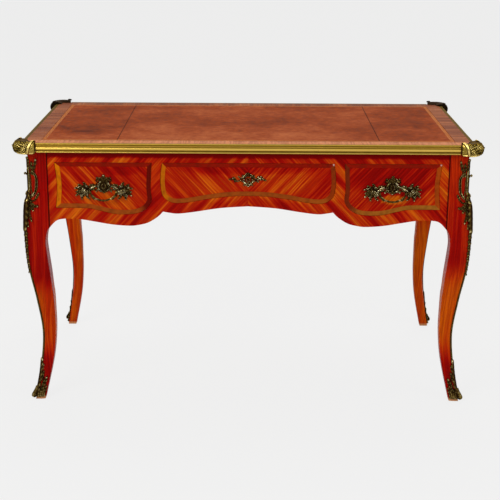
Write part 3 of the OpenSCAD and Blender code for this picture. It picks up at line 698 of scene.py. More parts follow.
def smooth_curve(points: Sequence[Sequence[float]], count: int) -> np.ndarray:
    """Smooth curve through points: on each span a cubic whose end slopes are half the chord over
    its two neighbours, read at even steps of its length.

    Args:
        points: the points to pass through, of any dimension.
        count: how many points to give back.

    Returns:
        Array (count, dimension).
    """
    knots = np.asarray(points, float)
    padded = np.vstack([2 * knots[0] - knots[1], knots, 2 * knots[-1] - knots[-2]])
    t = np.linspace(0, len(knots) - 1, 24 * (len(knots) - 1) + 1)
    i = np.minimum(t.astype(int), len(knots) - 2)
    f = (t - i)[:, None]
    a, b, c, d = (padded[i + k] for k in range(4))
    square, cube = 2 * a - 5 * b + 4 * c - d, 3 * b - a - 3 * c + d
    curve = 0.5 * (2 * b + (c - a) * f + square * f**2 + cube * f**3)
    length = np.concatenate([[0], np.cumsum(np.linalg.norm(np.diff(curve, axis=0), axis=1))])
    even = np.linspace(0, length[-1], count)
    return np.stack([np.interp(even, length, curve[:, k]) for k in range(curve.shape[1])], axis=1)


def grid(*parts: np.ndarray) -> np.ndarray:
    """Points from their coordinates, each spread over the whole grid."""
    return np.stack(np.broadcast_arrays(*parts), axis=-1)


def strip(along: int, across: int) -> tuple[np.ndarray, np.ndarray]:
    """Even steps from 0 to 1 down a column and from -1 to 1 along a row."""
    return np.linspace(0, 1, along)[:, None], np.linspace(-1, 1, across)[None, :]


def circle(count: int) -> np.ndarray:
    """Even angles round a full turn, along a row."""
    return np.linspace(0, 2 * np.pi, count, endpoint=False)[None, :]


def ease(t: np.ndarray) -> np.ndarray:
    """Smooth step from 0 at t = 0 to 1 at t = 1: t squared times 3 - 2t."""
    t = np.clip(t, 0, 1)
    return t * t * (3 - 2 * t)


@dataclass
class Surface:
    """A closed surface: points, quads, triangles, and each point's crest from 0: how rubbed it is,
    with painted highlight on ridges and domes.
    """

    points: np.ndarray
    quads: np.ndarray
    tris: np.ndarray
    crest: np.ndarray

    @staticmethod
    def joined(parts: "Sequence[Surface]") -> "Surface":
        """All parts as one surface.

        Args:
            parts: the surfaces to join.

        Returns:
            The one surface.
        """
        starts = np.cumsum([0] + [len(p.points) for p in parts[:-1]])
        return Surface(
            np.concatenate([p.points for p in parts]),
            np.concatenate([p.quads + s for p, s in zip(parts, starts)]),
            np.concatenate([p.tris + s for p, s in zip(parts, starts)]),
            np.concatenate([p.crest for p in parts]),
        )

    def placed(self, mapping: Mapping, turned: bool = False) -> "Surface":
        """The surface with its points mapped, and its faces turned if that mirrors it."""
        order = slice(None, None, -1 if turned else 1)
        return Surface(mapping(self.points), self.quads[:, order], self.tris[:, order], self.crest)

    def moved(self, x: float = 0, y: float = 0, h: float = 0) -> "Surface":
        """The surface moved in its plane and out from it."""
        return self.placed(lambda p: p + np.array([x, y, h]))

    def at_corner(self, mapping: Callable[[int, int], Mapping], sx: int, sy: int) -> "Surface":
        """The surface laid by a mapping on the corner whose x and y have the signs sx and sy."""
        return self.placed(mapping(sx, sy), turned=sx * sy < 0)

    def dimmed(self, share: float) -> "Surface":
        """The surface with only a share of its crest, rubbing and painted highlight, so that it
        stays dark.
        """
        return Surface(self.points, self.quads, self.tris, self.crest * share)

    def mirrored(self) -> "Surface":
        """The surface with its x turned round."""
        return self.placed(lambda p: p * np.array([-1, 1, 1]), turned=True)

    def with_mirror(self) -> "Surface":
        """The surface and its mirror image."""
        return Surface.joined([self, self.mirrored()])


def gather(*forms: "Surface | Leaf | Strap | Boss") -> Surface:
    """All forms as one surface."""
    return Surface.joined([form if isinstance(form, Surface) else form.surface() for form in forms])


def volume(surface: Surface) -> float:
    """Signed volume, from the triple products of the corners of every triangle.

    Args:
        surface: a closed surface.

    Returns:
        The volume, negative where the faces point inwards.
    """
    q = surface.quads
    tris = np.concatenate([surface.tris, q[:, [0, 1, 2]], q[:, [0, 2, 3]]])
    a, b, c = (surface.points[tris[:, k]] for k in range(3))
    return float(np.einsum("ij,ij->i", a, np.cross(b, c)).sum() / 6)


def tube(rings: np.ndarray, crest: np.ndarray | float = 0.5) -> Surface:
    """Closed surface through rings: neighbours are joined by quads and each end closes on its
    middle.

    Args:
        rings: points (along, around, 3), each ring closed on itself.
        crest: how rubbed each point is, with painted highlight on ridges, one number or (along,
            around).

    Returns:
        The surface, with its faces outwards.
    """
    n, m = rings.shape[:2]
    ids = np.arange(n * m).reshape(n, m)
    nxt = np.roll(ids, -1, axis=1)
    quads = np.stack([ids[:-1], nxt[:-1], nxt[1:], ids[1:]], axis=-1).reshape(-1, 4)
    first, last = np.full(m, n * m), np.full(m, n * m + 1)
    tris = np.concatenate([
        np.stack([first, nxt[0], ids[0]], axis=1), np.stack([last, ids[-1], nxt[-1]], axis=1)
    ])
    values = np.broadcast_to(crest, (n, m)).astype(float)
    points = np.concatenate([rings.reshape(-1, 3), [rings[0].mean(0), rings[-1].mean(0)]])
    shine = np.concatenate([values.ravel(), [values[0].mean(), values[-1].mean()]])
    made = Surface(points, quads, tris, shine)
    return made if volume(made) > 0 else made.placed(lambda p: p, turned=True)


def relief(top: np.ndarray, crest: np.ndarray | float, floor: float = UNDER) -> Surface:
    """Solid under a grid of points: each row is closed by its own points let down to the floor.

    Args:
        top: points (along, across, 3), x across, y up and the third outwards.
        crest: how rubbed each point is, with painted highlight on ridges, one number or (along,
            across).
        floor: height of the underside.

    Returns:
        The closed surface.
    """
    values = np.broadcast_to(crest, top.shape[:2])
    below = top.copy()
    below[..., 2] = floor
    rings = np.concatenate([top, below[:, ::-1]], axis=1)
    return tube(rings, np.concatenate([values, np.zeros_like(values)], axis=1))


def path_frame(path: np.ndarray) -> tuple[np.ndarray, np.ndarray]:
    """Unit tangents along a flat path, and the normals to their left.

    Args:
        path: points (count, 2).

    Returns:
        Tangents and normals, each (count, 2).
    """
    tangent = np.gradient(path, axis=0)
    tangent /= np.linalg.norm(tangent, axis=1, keepdims=True)
    return tangent, np.stack([-tangent[:, 1], tangent[:, 0]], axis=1)


@dataclass(frozen=True)
class Leaf:
    """A chased leaf: domed across, grooved down its vein, its edge cut into lobes that lean
    forward."""

    path: Sequence[Sequence[float]]
    width: float
    thick: float = 3.0
    lobes: int = 4
    cut: float = 0.35
    lean: float = 0.5
    lift: float = 2.0
    base: float = 0.45
    grow: float = 0.55

    def surface(self) -> Surface:
        """Half width = width x a rounded bump of the way along x a lobed wave; height = a dome
        across, less the vein, plus ribs that follow the lobes, plus a lift towards the tip.

        Returns:
            The leaf, flat side down.
        """
        n, m = 12 * max(self.lobes, 2) + 1, 13
        t, v = strip(n, m)
        path = smooth_curve(self.path, n)
        tangent, normal = path_frame(path)
        rise = self.base + (1 - self.base) * ease(t / self.grow)
        narrow = np.clip(1 - np.clip((t - 0.45) / 0.55, 0, 1) ** 2, 0, 1) ** 0.75
        body = self.width / 2 * rise * narrow
        wave = 0.5 - 0.5 * np.cos(2 * np.pi * self.lobes * t)
        half = body * (1 - self.cut * (1 - wave) * np.abs(v) ** 3) + 0.25
        flat = (
            path[:, None, :] + normal[:, None, :] * (v * half)[..., None]
            + tangent[:, None, :] * (self.lean * half * np.abs(v) ** 1.5)[..., None]
        )
        vein = np.exp(-((v / 0.13) ** 2))
        rib = (wave - 0.5) * np.abs(v) * (1 - 0.4 * np.abs(v))
        dome = np.sqrt(np.clip(1 - 0.8 * v**2, 0, 1))
        height = self.thick * (0.35 + 0.65 * dome) + 0.9 * rib - 0.32 * self.thick * vein
        height = height * (0.55 + 0.45 * ease(t * 5)) + self.lift * ease((t - 0.6) / 0.4) ** 1.5
        crest = (
            0.30 + 0.9 * rib + 0.28 * dome - 0.5 * vein + 0.3 * ease((t - 0.75) / 0.25)
            - 0.3 * np.abs(v) ** 6
        )
        return relief(grid(flat[..., 0], flat[..., 1], height), crest)


@dataclass(frozen=True)
class Strap:
    """A scrolled band: two raised rims with a hollow between them, carried along a path."""

    path: Sequence[Sequence[float]]
    width: float
    thick: float = 3.0
    hollow: float = 0.35
    taper: float = 0.5
    notches: int = 0
    rise: float = 0.0
    closed_ends: float = 0.12

    def surface(self) -> Surface:
        """Height = an arch across, less a groove down the middle; notches cut it into beads along.

        Returns:
            The band, flat side down.
        """
        n = max(24, 10 * self.notches) + 1
        t, v = strip(n, 11)
        path = smooth_curve(self.path, n)
        _, normal = path_frame(path)
        swell = self.taper + (1 - self.taper) * np.sin(np.pi * np.clip(t, 0, 1)) ** 0.7
        near_end = np.clip(1 - np.minimum(t, 1 - t) / self.closed_ends, 0, 1)
        ends = np.sqrt(np.clip(1 - near_end**2, 0.02, 1))
        half = self.width / 2 * swell * ends
        flat = path[:, None, :] + normal[:, None, :] * (v * half)[..., None]
        arch = np.sqrt(np.clip(1 - v**4, 0, 1))
        groove = np.exp(-((v / 0.42) ** 2))
        wave = (
            0.5 + 0.5 * np.cos(2 * np.pi * self.notches * t) if self.notches else np.zeros_like(t)
        )
        height = self.thick * (0.25 + 0.75 * arch) * (1 - self.hollow * groove) * (0.6 + 0.4 * ends)
        height = height * (1 - 0.3 * wave) + self.rise * np.sin(np.pi * t)
        rims = np.exp(-(((np.abs(v) - 0.72) / 0.2) ** 2))
        crest = (
            0.25 + 0.3 * arch + 0.5 * rims - 1.0 * self.hollow * groove - 0.45 * wave
            - 0.2 * np.abs(v) ** 8
        )
        return relief(grid(flat[..., 0], flat[..., 1], height), crest)


@dataclass(frozen=True)
class Boss:
    """A round ornament on a polar grid: a dome, a ball, or a flower with petals in rows."""

    radius: float
    height: float
    petals: int = 0
    rows: int = 1
    stretch: float = 1.0
    depth: float = 0.16

    def at(self, x: float, y: float, h: float = 0) -> Surface:
        """The boss with its middle at (x, y), h up."""
        return self.surface().moved(x, y, h)

    def surface(self) -> Surface:
        """Radius = radius x (1 + a petal wave); height = a dome from the rim to the middle, stepped
        once for each row of petals, each row turned by half a petal.

        Returns:
            The boss, flat side down.
        """
        m = 6 * self.petals if self.petals else 20
        n = 5 + 4 * self.rows
        a = circle(m)
        r = np.linspace(1, 0.04, n)[:, None]
        row = np.minimum((1 - r) * self.rows, self.rows - 1e-6)
        wave = np.cos(self.petals * a + np.pi * np.floor(row)) if self.petals else np.zeros_like(a)
        within = row - np.floor(row)
        reach = self.radius * r * (1 + self.depth * wave * (r > 0.3))
        step = np.sin(np.pi * np.clip(within, 0, 1)) if self.petals else np.zeros_like(within)
        dome = np.sqrt(np.clip(1 - r**2, 0, 1))
        height = self.height * (0.3 + 0.7 * dome + 0.14 * step * (0.6 + 0.4 * wave))
        crest = 0.22 + 0.30 * dome + 0.62 * step * wave + 0 * a
        x, y = reach * np.cos(a) * self.stretch, reach * np.sin(a)
        foot = grid(x[:1], y[:1], np.array(UNDER))
        rings = np.concatenate([foot, grid(x, y, height)])
        return tube(rings, np.concatenate([np.zeros((1, m)), crest]))


def curl(path: Sequence[tuple[float, float]], width: float, thick: float) -> Surface:
    """A ribbon that curls off the leg in the plane of its diagonal.

    Its (z, h) path is carried with flattened circles: width across the plane, tapering to the eye
    of the curl, and thick along the path's normal.

    Args:
        path: points (height, distance out).
        width: full width at the root.
        thick: full thickness at the root.

    Returns:
        The ribbon, as (s, z, h).
    """
    n = 56
    spine = smooth_curve(path, n)
    _, normal = path_frame(spine)
    t, a = np.linspace(0, 1, n)[:, None], circle(20)
    narrow = (1 - 0.45 * t) * np.sqrt(np.clip(1 - ((t - 0.5) / 0.5) ** 20, 0.05, 1))
    across = width / 2 * narrow * np.cos(a)
    flute = 1 + 0.18 * np.cos(6 * np.pi * np.cos(a))
    off = thick / 2 * narrow * np.sign(np.sin(a)) * np.abs(np.sin(a)) ** 0.6 * flute
    edge = grid(across, spine[:, :1] + normal[:, :1] * off, spine[:, 1:] + normal[:, 1:] * off)
    return tube(edge, 0.28 + 0.3 * np.abs(np.sin(a)) + 0.25 * t)


def ball(x: float, y: float, h: float, radius: float) -> Surface:
    """A ball: circles of radius x the sine of the angle from its pole, up its y axis.

    Args:
        x: its middle across.
        y: its middle up.
        h: its middle out.
        radius: its radius.

    Returns:
        The ball.
    """
    polar, a = np.linspace(0.12, np.pi - 0.12, 9)[:, None], circle(12)
    right, out = np.sin(polar) * np.cos(a), np.sin(polar) * np.sin(a)
    # The crest is higher on the ball's outward side: painted highlight.
    return tube(
        grid(x + radius * right, y + radius * np.cos(polar), h + radius * out), 0.5 + 0.45 * out
    )


# ---------------------------------------------------------------- pieces


class Body(Enum):
    """The moving bodies that pieces ride on."""

    DESK = "desk"
    LEFT = "drawer_left"
    CENTRE = "drawer_centre"
    RIGHT = "drawer_right"
    SWING_LEFT = "swing_left"
    SWING_RIGHT = "swing_right"


BRONZE = CastMetal(
    "gilt_bronze_cast", gold=(0.235, 0.170, 0.036), body=(0.060, 0.034, 0.008),
    hollow=(0.016, 0.006, 0.002), stops=(0.26, 0.60, 0.84, 1.04),
)
# Worn gilt bronze whose near-white bright stop, reached by strongly stirred specks, paints glints
# on the feet, handle mounts and escutcheon.
DARK_BRONZE = CastMetal(
    "gilt_bronze_worn_painted_glints", bright=(0.96, 0.86, 0.52), gold=(0.27, 0.200, 0.052),
    body=(0.062, 0.034, 0.008), hollow=(0.018, 0.007, 0.002),
    stops=(0.30, 0.62, 0.84, 1.02), stir=1.25,
)
SHELL_BRONZE = CastMetal(
    "gilt_bronze_bright", bright=(0.76, 0.57, 0.18), gold=(0.33, 0.225, 0.032),
    body=(0.085, 0.052, 0.008), hollow=(0.008, 0.004, 0.001),
    stops=(0.34, 0.58, 0.84, 1.12),
)
EDGE_BRASS = CastMetal(
    "edge_brass_drawn", bright=(0.72, 0.48, 0.095), gold=(0.50, 0.33, 0.046),
    body=(0.25, 0.16, 0.018), hollow=(0.075, 0.045, 0.007),
    stops=(0.10, 0.40, 0.70, 1.0), rough=0.27, stir=0.45,
)


def add_object(name: str, data: bpy.types.ID) -> bpy.types.Object:
    """An object of that name with this data, linked to the scene.

    Args:
        name: the object's name.
        data: its mesh, lamp or camera.

    Returns:
        The object.
    """
    made = bpy.data.objects.new(name, data)
    bpy.context.scene.collection.objects.link(made)
    return made


def add_piece(
    node: str, made: str, surface: Surface, finish: Finish, body: Body = Body.DESK,
    sharp: float = 40.0,
) -> None:
    """Makes the mesh object that stands for a CAD node, dresses it and puts it on its body.

    Args:
        node: the CAD node that it replaces.
        made: how it is made, the last word of its name.
        surface: its shape, in metres, in the desk's frame.
        finish: its material.
        body: the body that it rides on.
        sharp: edges sharper than this many degrees stay sharp.
    """
    name = f"{node}_{made}"
    mesh = bpy.data.meshes.new(name)
    mesh.from_pydata(surface.points, [], surface.quads.tolist() + surface.tris.tolist())
    mesh.shade_smooth()
    mesh.set_sharp_from_angle(angle=math.radians(sharp))
    crest = mesh.attributes.new("crest", "FLOAT", "POINT")
    crest.data.foreach_set("value", np.clip(surface.crest, 0, 1.2).astype(np.float32))
    mesh.materials.append(finish.material())
    piece = add_object(name, mesh)
    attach(piece, body.value)
    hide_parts(node)
    LOG.info("%s: %d points on %s", name, len(surface.points), body.value)


@dataclass(frozen=True)
class LegShape:
    """Outer and inner edges of a leg as offsets from the post's outer face by height, and how far
    its outer faces stand clear of a line that falls back from the arris."""

    outer: Sequence[tuple[float, float]] = (
        (7.5, 0), (-9.51, 90.1), (-19.5, 201.4), (-8.03, 310.05), (7.47, 410.75), (11.5, 508.8),
        (8.97, 590), (0, 640),
    )
    inner: Sequence[tuple[float, float]] = (
        (-20.5, 0), (-40.8, 90.1), (-50.6, 148.4), (-55.5, 212), (-55.5, 265), (-54.45, 318),
        (-52.38, 341.85), (-49.25, 387.96), (-45, 434.6), (-41.5, 478.06), (-42.19, 496.08),
        (-44.25, 509.86), (-48.75, 523.64), (-54, 530),
    )
    clear: Sequence[tuple[float, float]] = (
        (0, 3), (58.3, 3), (106, 2), (159, 0.5), (530, 1), (590, 3.2), (640, 10.54), (753.5, 54),
    )
    splay: float = 10.5

    def at(self, edge: Sequence[tuple[float, float]], z: np.ndarray) -> np.ndarray:
        """Offset of an edge at the heights z."""
        curve = smooth_curve(edge, 400)
        return np.interp(z, curve[:, 1], curve[:, 0])

    def arris(self, z: np.ndarray) -> np.ndarray:
        """Offset of the outer edge at the heights z."""
        return self.at(self.outer, z)

    def square(self, z: np.ndarray) -> np.ndarray:
        """How far in from the arris a face stays square at the heights z."""
        heights, clear = np.array(self.clear, float).T
        return np.interp(z, heights, clear) / math.sin(math.radians(self.splay))

    def fall(self, z: np.ndarray, depth: np.ndarray) -> np.ndarray:
        """How far a face has fallen back: depth past the square part, times the splay's slope."""
        return np.clip(depth - self.square(z), 0, None) * math.tan(math.radians(self.splay))

    def wrap(self, sx: int, sy: int) -> Mapping:
        """Mapping that lays a flat form round the outer arris of the leg at the corner (sx, sy).

        A flat point is (s, z, h): s to one side of the arris, z up and h out. The distance in from
        the arris on each face is a softened |s|, the faces fall back as the leg's do, and h goes
        along a normal that turns smoothly from one face to the other.

        Args:
            sx: the sign of the corner's x.
            sy: the sign of the corner's y.

        Returns:
            The mapping.
        """
        soft = 0.9

        def mapping(flat: np.ndarray) -> np.ndarray:
            """Lays points (count, 3) of the flat form."""
            s, z, h = flat.T
            arris = self.arris(z)
            t = np.clip(s / soft, -40, 40)
            on_x, on_y = 1 / (1 + np.exp(t)), 1 / (1 + np.exp(-t))
            out = h / np.hypot(on_x, on_y) - self.fall(z, np.abs(s))
            x = POST_X + arris - soft * np.log1p(np.exp(t)) + out * on_x
            y = POST_Y + arris - soft * np.log1p(np.exp(-t)) + out * on_y
            return grid(sx * x, sy * y, z) * MM

        return mapping

    def diagonal(self, sx: int, sy: int) -> Mapping:
        """Mapping that stands a form (s, z, h) off the arris: h along the leg's diagonal, s across
        it.

        Args:
            sx: the sign of the corner's x.
            sy: the sign of the corner's y.

        Returns:
            The mapping.
        """
        def mapping(flat: np.ndarray) -> np.ndarray:
            """Lays points (count, 3) of the flat form."""
            s, z, h = flat.T
            arris = self.arris(z)
            x = POST_X + arris + (h - s) / math.sqrt(2)
            y = POST_Y + arris + (h + s) / math.sqrt(2)
            return grid(sx * x, sy * y, z) * MM

        return mapping


LEG = LegShape()


def add_on_legs(mount: str, flat: Surface, curls: Surface, finish: Finish) -> None:
    """Adds one cast mount to each leg.

    Args:
        mount: the first words of its CAD nodes.
        flat: what is wrapped round the arris.
        curls: what stands off it along the leg's diagonal.
        finish: its material.
    """
    for corner, signs in CORNERS.items():
        both = gather(flat.at_corner(LEG.wrap, *signs), curls.at_corner(LEG.diagonal, *signs))
        add_piece(f"{mount}_{corner}", "cast", both, finish)


@dataclass(frozen=True)
class Legs:
    """Four cabriole legs of veneered wood, with softened arrises and outer faces that fall back."""

    rows: int = 190
    arris_r: float = 1.3
    finish: Finish = Veneer(
        "leg_veneer_polished", lay=Lay.UPRIGHT, broad=0.8, streaky=0.55, wide=24.0, warmth=-0.12,
        joints=True,
        tones=((0.12, 0.0006, 0.0002), (0.30, 0.0020, 0.0006), (0.44, 0.0240, 0.0008),
               (0.56, 0.098, 0.0015)),
        zones=(
            Zone((-600, -300, 250), (300, 300, 105), 0.36),
            Zone((600, -300, 275), (300, 300, 135), 0.46),
            Zone((-600, 340, 330), (300, 260, 380), 0.34),
            Zone((600, 340, 190), (300, 260, 220), 0.48),
        ),
        bare=(Zone((0, 0, 0), (0, 0, 8.5), 0.9),),
        seed=2.0,
    )

    def surface(self, sx: int, sy: int) -> Surface:
        """Rings up the leg. Half of each goes from the rounded arris along one face, which falls
        back past its square part, round the far corner and along the inner side; the other half is
        its mirror image about the diagonal.

        Args:
            sx: the sign of the corner's x.
            sy: the sign of the corner's y.

        Returns:
            The leg, in metres.
        """
        z = np.concatenate(
            [np.linspace(0, JOINT_Z, self.rows), np.linspace(JOINT_Z + 2, UNDERSIDE_Z, 40)]
        )
        outer, inner, r = LEG.arris(z), LEG.at(LEG.inner, z), self.arris_r
        a = np.radians([45.0, 67.5, 90.0])
        arc = outer[:, None, None] - r + r * np.stack([np.cos(a), np.sin(a)], axis=1)[None]
        crease = np.clip(outer - LEG.square(z), inner + 3.4, outer - 3.4)
        along = np.stack([outer - r - 1, crease + 1, crease - 1, inner + r + 1, inner + r], axis=1)
        face = np.stack(
            [along, outer[:, None] - LEG.fall(z[:, None], outer[:, None] - along)], axis=2
        )
        far = outer - LEG.fall(z, outer - inner)
        side_x = np.stack([inner, inner, inner, inner + 0.3 * r], axis=1)
        side_y = np.stack([far - r, far - r - 1, inner + r, inner + 0.3 * r], axis=1)
        half = np.concatenate([arc, face, np.stack([side_x, side_y], axis=2)], axis=1)
        ring = np.concatenate([half, half[:, -2:0:-1, ::-1]], axis=1) + np.array([POST_X, POST_Y])
        made = tube(grid(ring[..., 0], ring[..., 1], z[:, None]))
        return made.placed(lambda p: p * np.array([sx, sy, 1]) * MM, turned=sx * sy < 0)

    def build(self) -> None:
        """Makes the four legs."""
        for corner, (sx, sy) in CORNERS.items():
            leg = self.surface(sx, sy)
            add_piece(f"leg_{corner}", "veneered", leg, self.finish)


@dataclass(frozen=True)
class EdgeMoulding:
    """Drawn brass moulding round the top: fillet, groove, bead, big torus, cove and foot bead."""

    run: float = 45.5
    # How strongly painted shade darkens the upper part of the profile: on the front length, and on
    # the other three.
    top_shade_front: float = 0.3
    top_shade_rest: float = 0.8
    profile: Sequence[tuple[float, float]] = (
        (8.2, 0.0), (9.7, -0.15), (10.0, -0.8), (10.0, -1.9), (9.6, -2.5), (8.1, -3.4), (7.5, -4.3),
        (7.6, -5.2), (8.5, -5.8), (9.3, -6.6), (9.4, -7.4), (8.8, -8.2), (7.7, -8.8), (7.2, -9.6),
        (7.4, -10.6), (8.5, -11.3), (9.4, -12.4), (9.9, -13.8), (10.0, -15.2), (9.6, -16.7),
        (8.8, -17.9), (7.6, -18.8), (6.6, -19.8), (6.2, -21.0), (6.6, -22.2), (7.5, -22.8),
        (8.7, -23.2), (9.3, -24.1), (9.3, -25.2), (8.6, -26.1), (7.4, -26.5),
    )

    def surface(self, half: float, edge: float, along_x: bool, sign: int) -> Surface:
        """The profile, closed at the wood, carried straight along one edge of the top.

        Args:
            half: half its length.
            edge: how far out the wood's edge stands.
            along_x: whether it runs along x.
            sign: the sign of the side that it is on.

        Returns:
            The moulding, in metres.
        """
        shape = np.array([(0.0, 0.0), *self.profile, (0.0, -26.5)])
        out = shape[:, 0]
        # The upper part of the profile is darkened: painted shade, stronger on the back and sides.
        dull = self.top_shade_front if along_x and sign < 0 else self.top_shade_rest
        crest = (0.25 + 0.75 * ease((out - 6.5) / 3.2)) * (1 - dull * ease((shape[:, 1] + 9) / 8))
        stations = np.linspace(-half, half, 60)
        along, across, up = stations[:, None], sign * (edge + out), TOP_Z + shape[:, 1]
        return tube((grid(along, across, up) if along_x else grid(across, along, up)) * MM, crest)

    def build(self) -> None:
        """Makes the four lengths."""
        half_x, half_y = WOOD_X + EDGE - self.run, WOOD_Y + EDGE - self.run
        for side, half, edge, along_x, sign in (
            ("front", half_x, WOOD_Y, True, -1), ("back", half_x, WOOD_Y, True, 1),
            ("left", half_y, WOOD_X, False, -1), ("right", half_y, WOOD_X, False, 1),
        ):
            made = self.surface(half, edge, along_x, sign)
            node = f"edge_moulding_{side}"
            add_piece(node, "drawn", made, EDGE_BRASS, sharp=30.0)


@dataclass(frozen=True)
class Leathers:
    """Three leather panels let into the top, each with rounded edges and a faint swell."""

    thick: float = 1.5
    gap: float = 0.1
    finish: Finish = Hide("hide_tooled")

    def surface(self, x0: float, x1: float) -> Surface:
        """A grid over the panel: height falls to the recess over the last millimetre of each edge
        and undulates slowly inside; a flat underside closes it.

        Args:
            x0: the panel's left edge.
            x1: the panel's right edge.

        Returns:
            The panel, in metres.
        """
        def spread(low: float, high: float, count: int) -> np.ndarray:
            """Steps that crowd at both ends."""
            ends = np.array([0, 0.15, 0.4, 0.8, 1.3])
            return np.concatenate(
                [low + ends, np.linspace(low + 3, high - 3, count), high - ends[::-1]]
            )

        x, y = np.meshgrid(spread(x0, x1, 60), spread(-LEATHER_Y, LEATHER_Y, 70), indexing="ij")
        edge = np.minimum(np.minimum(x - x0, x1 - x), LEATHER_Y - np.abs(y))
        drop = 0.9 * (1 - np.sqrt(np.clip(1 - (1 - np.clip(edge / 1.2, 0, 1)) ** 2, 0, 1)))
        swell = 0.12 * np.sin(x / 41 + 1.3) * np.sin(y / 57) + 0.08 * np.sin((x + y) / 23)
        height = TOP_Z - 0.05 - drop + swell * ease(edge / 20)
        return relief(grid(x, y, height) * MM, 0.5, (TOP_Z - self.thick) * MM)

    def build(self) -> None:
        """Makes the three panels."""
        spans = {
            "left": (-LEATHER_X, -SEAM_X),
            "centre": (self.gap - SEAM_X, SEAM_X - self.gap),
            "right": (SEAM_X, LEATHER_X),
        }
        for side, (x0, x1) in spans.items():
            panel = self.surface(x0, x1)
            add_piece(f"leather_{side}", "tooled", panel, self.finish)


@dataclass(frozen=True)
class KneeMounts:
    """Cast mounts on the knees: crossed leaves, an open scroll, acanthus and a husk garland."""

    garland: Sequence[float] = (530.0, 512.0, 494.0, 476.5, 459.5, 443.0, 427.5, 413.0, 400.0)

    def one_side(self) -> "Sequence[Leaf | Strap]":
        """The forms on one face of the leg; s runs in from the arris.

        Returns:
            The forms, in the order that they are laid.
        """
        return (
            Leaf([(12, 689), (15.5, 700), (18.5, 711), (21.5, 722), (24, 734)],
                 9.5, 3.4, 4, 0.5, 0.8, 3.4),
            Leaf([(10, 690), (9.5, 700), (10.5, 711), (12.5, 724)], 6.0, 3.0, 3, 0.4, 0.7, 2.0),
            Strap([(3.0, 688), (2.8, 699), (4.5, 709), (8.5, 718), (10.5, 727)],
                  3.6, 4.2, 0.3, 0.7),
            Strap([(13, 705), (16.5, 700), (17, 693), (13, 688), (8.5, 690), (8, 696)],
                  3.6, 4.6, 0.3, 0.7),
            Strap([(7, 697), (14, 692), (20, 686), (22.6, 676), (22.6, 660), (20.8, 644),
                   (16.5, 630), (11, 622)],
                  7.6, 4.6, 0.75, 0.8, 0, 0.6, 0.05),
            Strap([(4.5, 690), (6.6, 676), (6.4, 658), (7.5, 642), (12.5, 628)],
                  3.6, 3.6, 0.1, 0.7),
            Strap([(17, 632), (13, 625), (8, 620), (4.8, 623), (6.4, 629), (10, 629)],
                  4.2, 5.2, 0.3, 0.8),
            Leaf([(17, 612), (22, 615), (26, 622), (30, 635)], 8.5, 3.4, 4, 0.5, 0.8, 3.2),
            Strap([(4, 623), (9, 615), (16, 611), (23, 614), (25.5, 619)], 4.2, 5.0, 0.4, 0.7),
            Leaf([(7, 612), (14, 605), (21, 598), (30, 596), (33, 600)],
                 11.0, 4.2, 4, 0.55, 0.7, 3.6),
            Leaf([(8, 600), (14, 594), (19, 588), (23, 583)], 8.5, 3.8, 3, 0.55, 0.7, 3.0),
            Strap([(9, 618), (12, 605), (12.6, 592), (11.5, 578), (14, 563), (17.5, 552)],
                  3.8, 5.4, 0.35, 0.7),
            Leaf([(6, 584), (10, 573), (13.5, 563), (17.5, 551)], 8.0, 3.8, 4, 0.5, 0.8, 2.4),
            Strap([(5, 620), (8, 606), (8.6, 590), (7.2, 572), (4.6, 552), (2.4, 532)],
                  4.4, 7.4, 0.35, 0.6),
            Leaf([(3, 564), (5, 552), (6, 543), (8, 535)], 6.5, 4.0, 3, 0.5, 0.8, 2.0),
        )

    def middle(self) -> "list[Surface | Leaf | Strap]":
        """The forms on the arris itself.

        Returns:
            The forms, from the top down.
        """
        forms: "list[Surface | Leaf | Strap]" = [
            Leaf([(0, 702), (0, 713), (0, 725), (0, 739)], 11, 4.2, 4, 0.45, 0.7, 1.6),
            Strap([(0, 706), (0, 682), (0, 656), (0, 630)], 8.4, 4.4, 0.05, 0.85, closed_ends=0.05),
            Leaf([(0, 646), (0, 634), (0, 622), (0, 610)], 15, 6.4, 3, 0.45, 0.6, 2.4),
            Leaf([(0, 628), (0, 600), (0, 572), (0, 548), (0, 524)],
                 15, 8.4, 6, 0.45, 0.8, 0.6, 0.6),
        ]
        for upper, lower in zip(self.garland, self.garland[1:]):
            up = (lower - self.garland[-1]) / (self.garland[0] - self.garland[-1])
            width, tall = 7.5 + 5.0 * up, 4.6 + 2.6 * up
            forms += [
                Leaf([(0, upper + 3), (0, (upper + lower) / 2), (0, lower - 3)],
                     width, tall, 3, 0.55, 1.0, 0.8, 0.5),
                Boss(width * 0.2, tall + 1.6).at(0, upper + 1.5).dimmed(0.7),
            ]
        return forms

    def nubs(self) -> list[Surface]:
        """Small curls that stand off the arris, in the plane of the leg's diagonal."""
        return [
            curl([(686, 2.2), (690, 5.4), (694.5, 9.4), (692, 12.0), (688.6, 10.0)], 8.0, 4.0),
            curl([(640, 3.5), (637, 7.6), (632, 8.4), (629, 5.8), (631.5, 3.6)], 6.0, 2.8),
            curl([(402, 2.6), (399.5, 5.2), (396.5, 5.6), (395, 3.6)], 4.0, 2.0),
        ]

    def build(self) -> None:
        """Makes one mount for each leg."""
        flat = gather(gather(*self.one_side()).with_mirror(), *self.middle())
        add_on_legs("knee_mount", flat, gather(*self.nubs()), BRONZE)


@dataclass(frozen=True)
class LegFillets:
    """Thin beads of brass down the arrises, from the garlands to the foot mounts."""

    top: float = 402.0
    foot: float = 120.0
    half: float = 3.3

    def build(self) -> None:
        """Makes all four as one piece: a low dome across with a fine groove down its middle."""
        z, v = np.linspace(self.top, self.foot, 90)[:, None], np.linspace(-1, 1, 9)[None, :]
        groove = 1 - 0.25 * np.exp(-((v / 0.3) ** 2))
        bead = relief(
            grid(self.half * v, z, self.half * (1 - 0.55 * v**2) * groove), 0.35 + 0.3 * (1 - v**2)
        )
        all_four = gather(*(bead.at_corner(LEG.wrap, *signs) for signs in CORNERS.values()))
        add_piece("leg_fillets", "drawn", all_four, BRONZE)


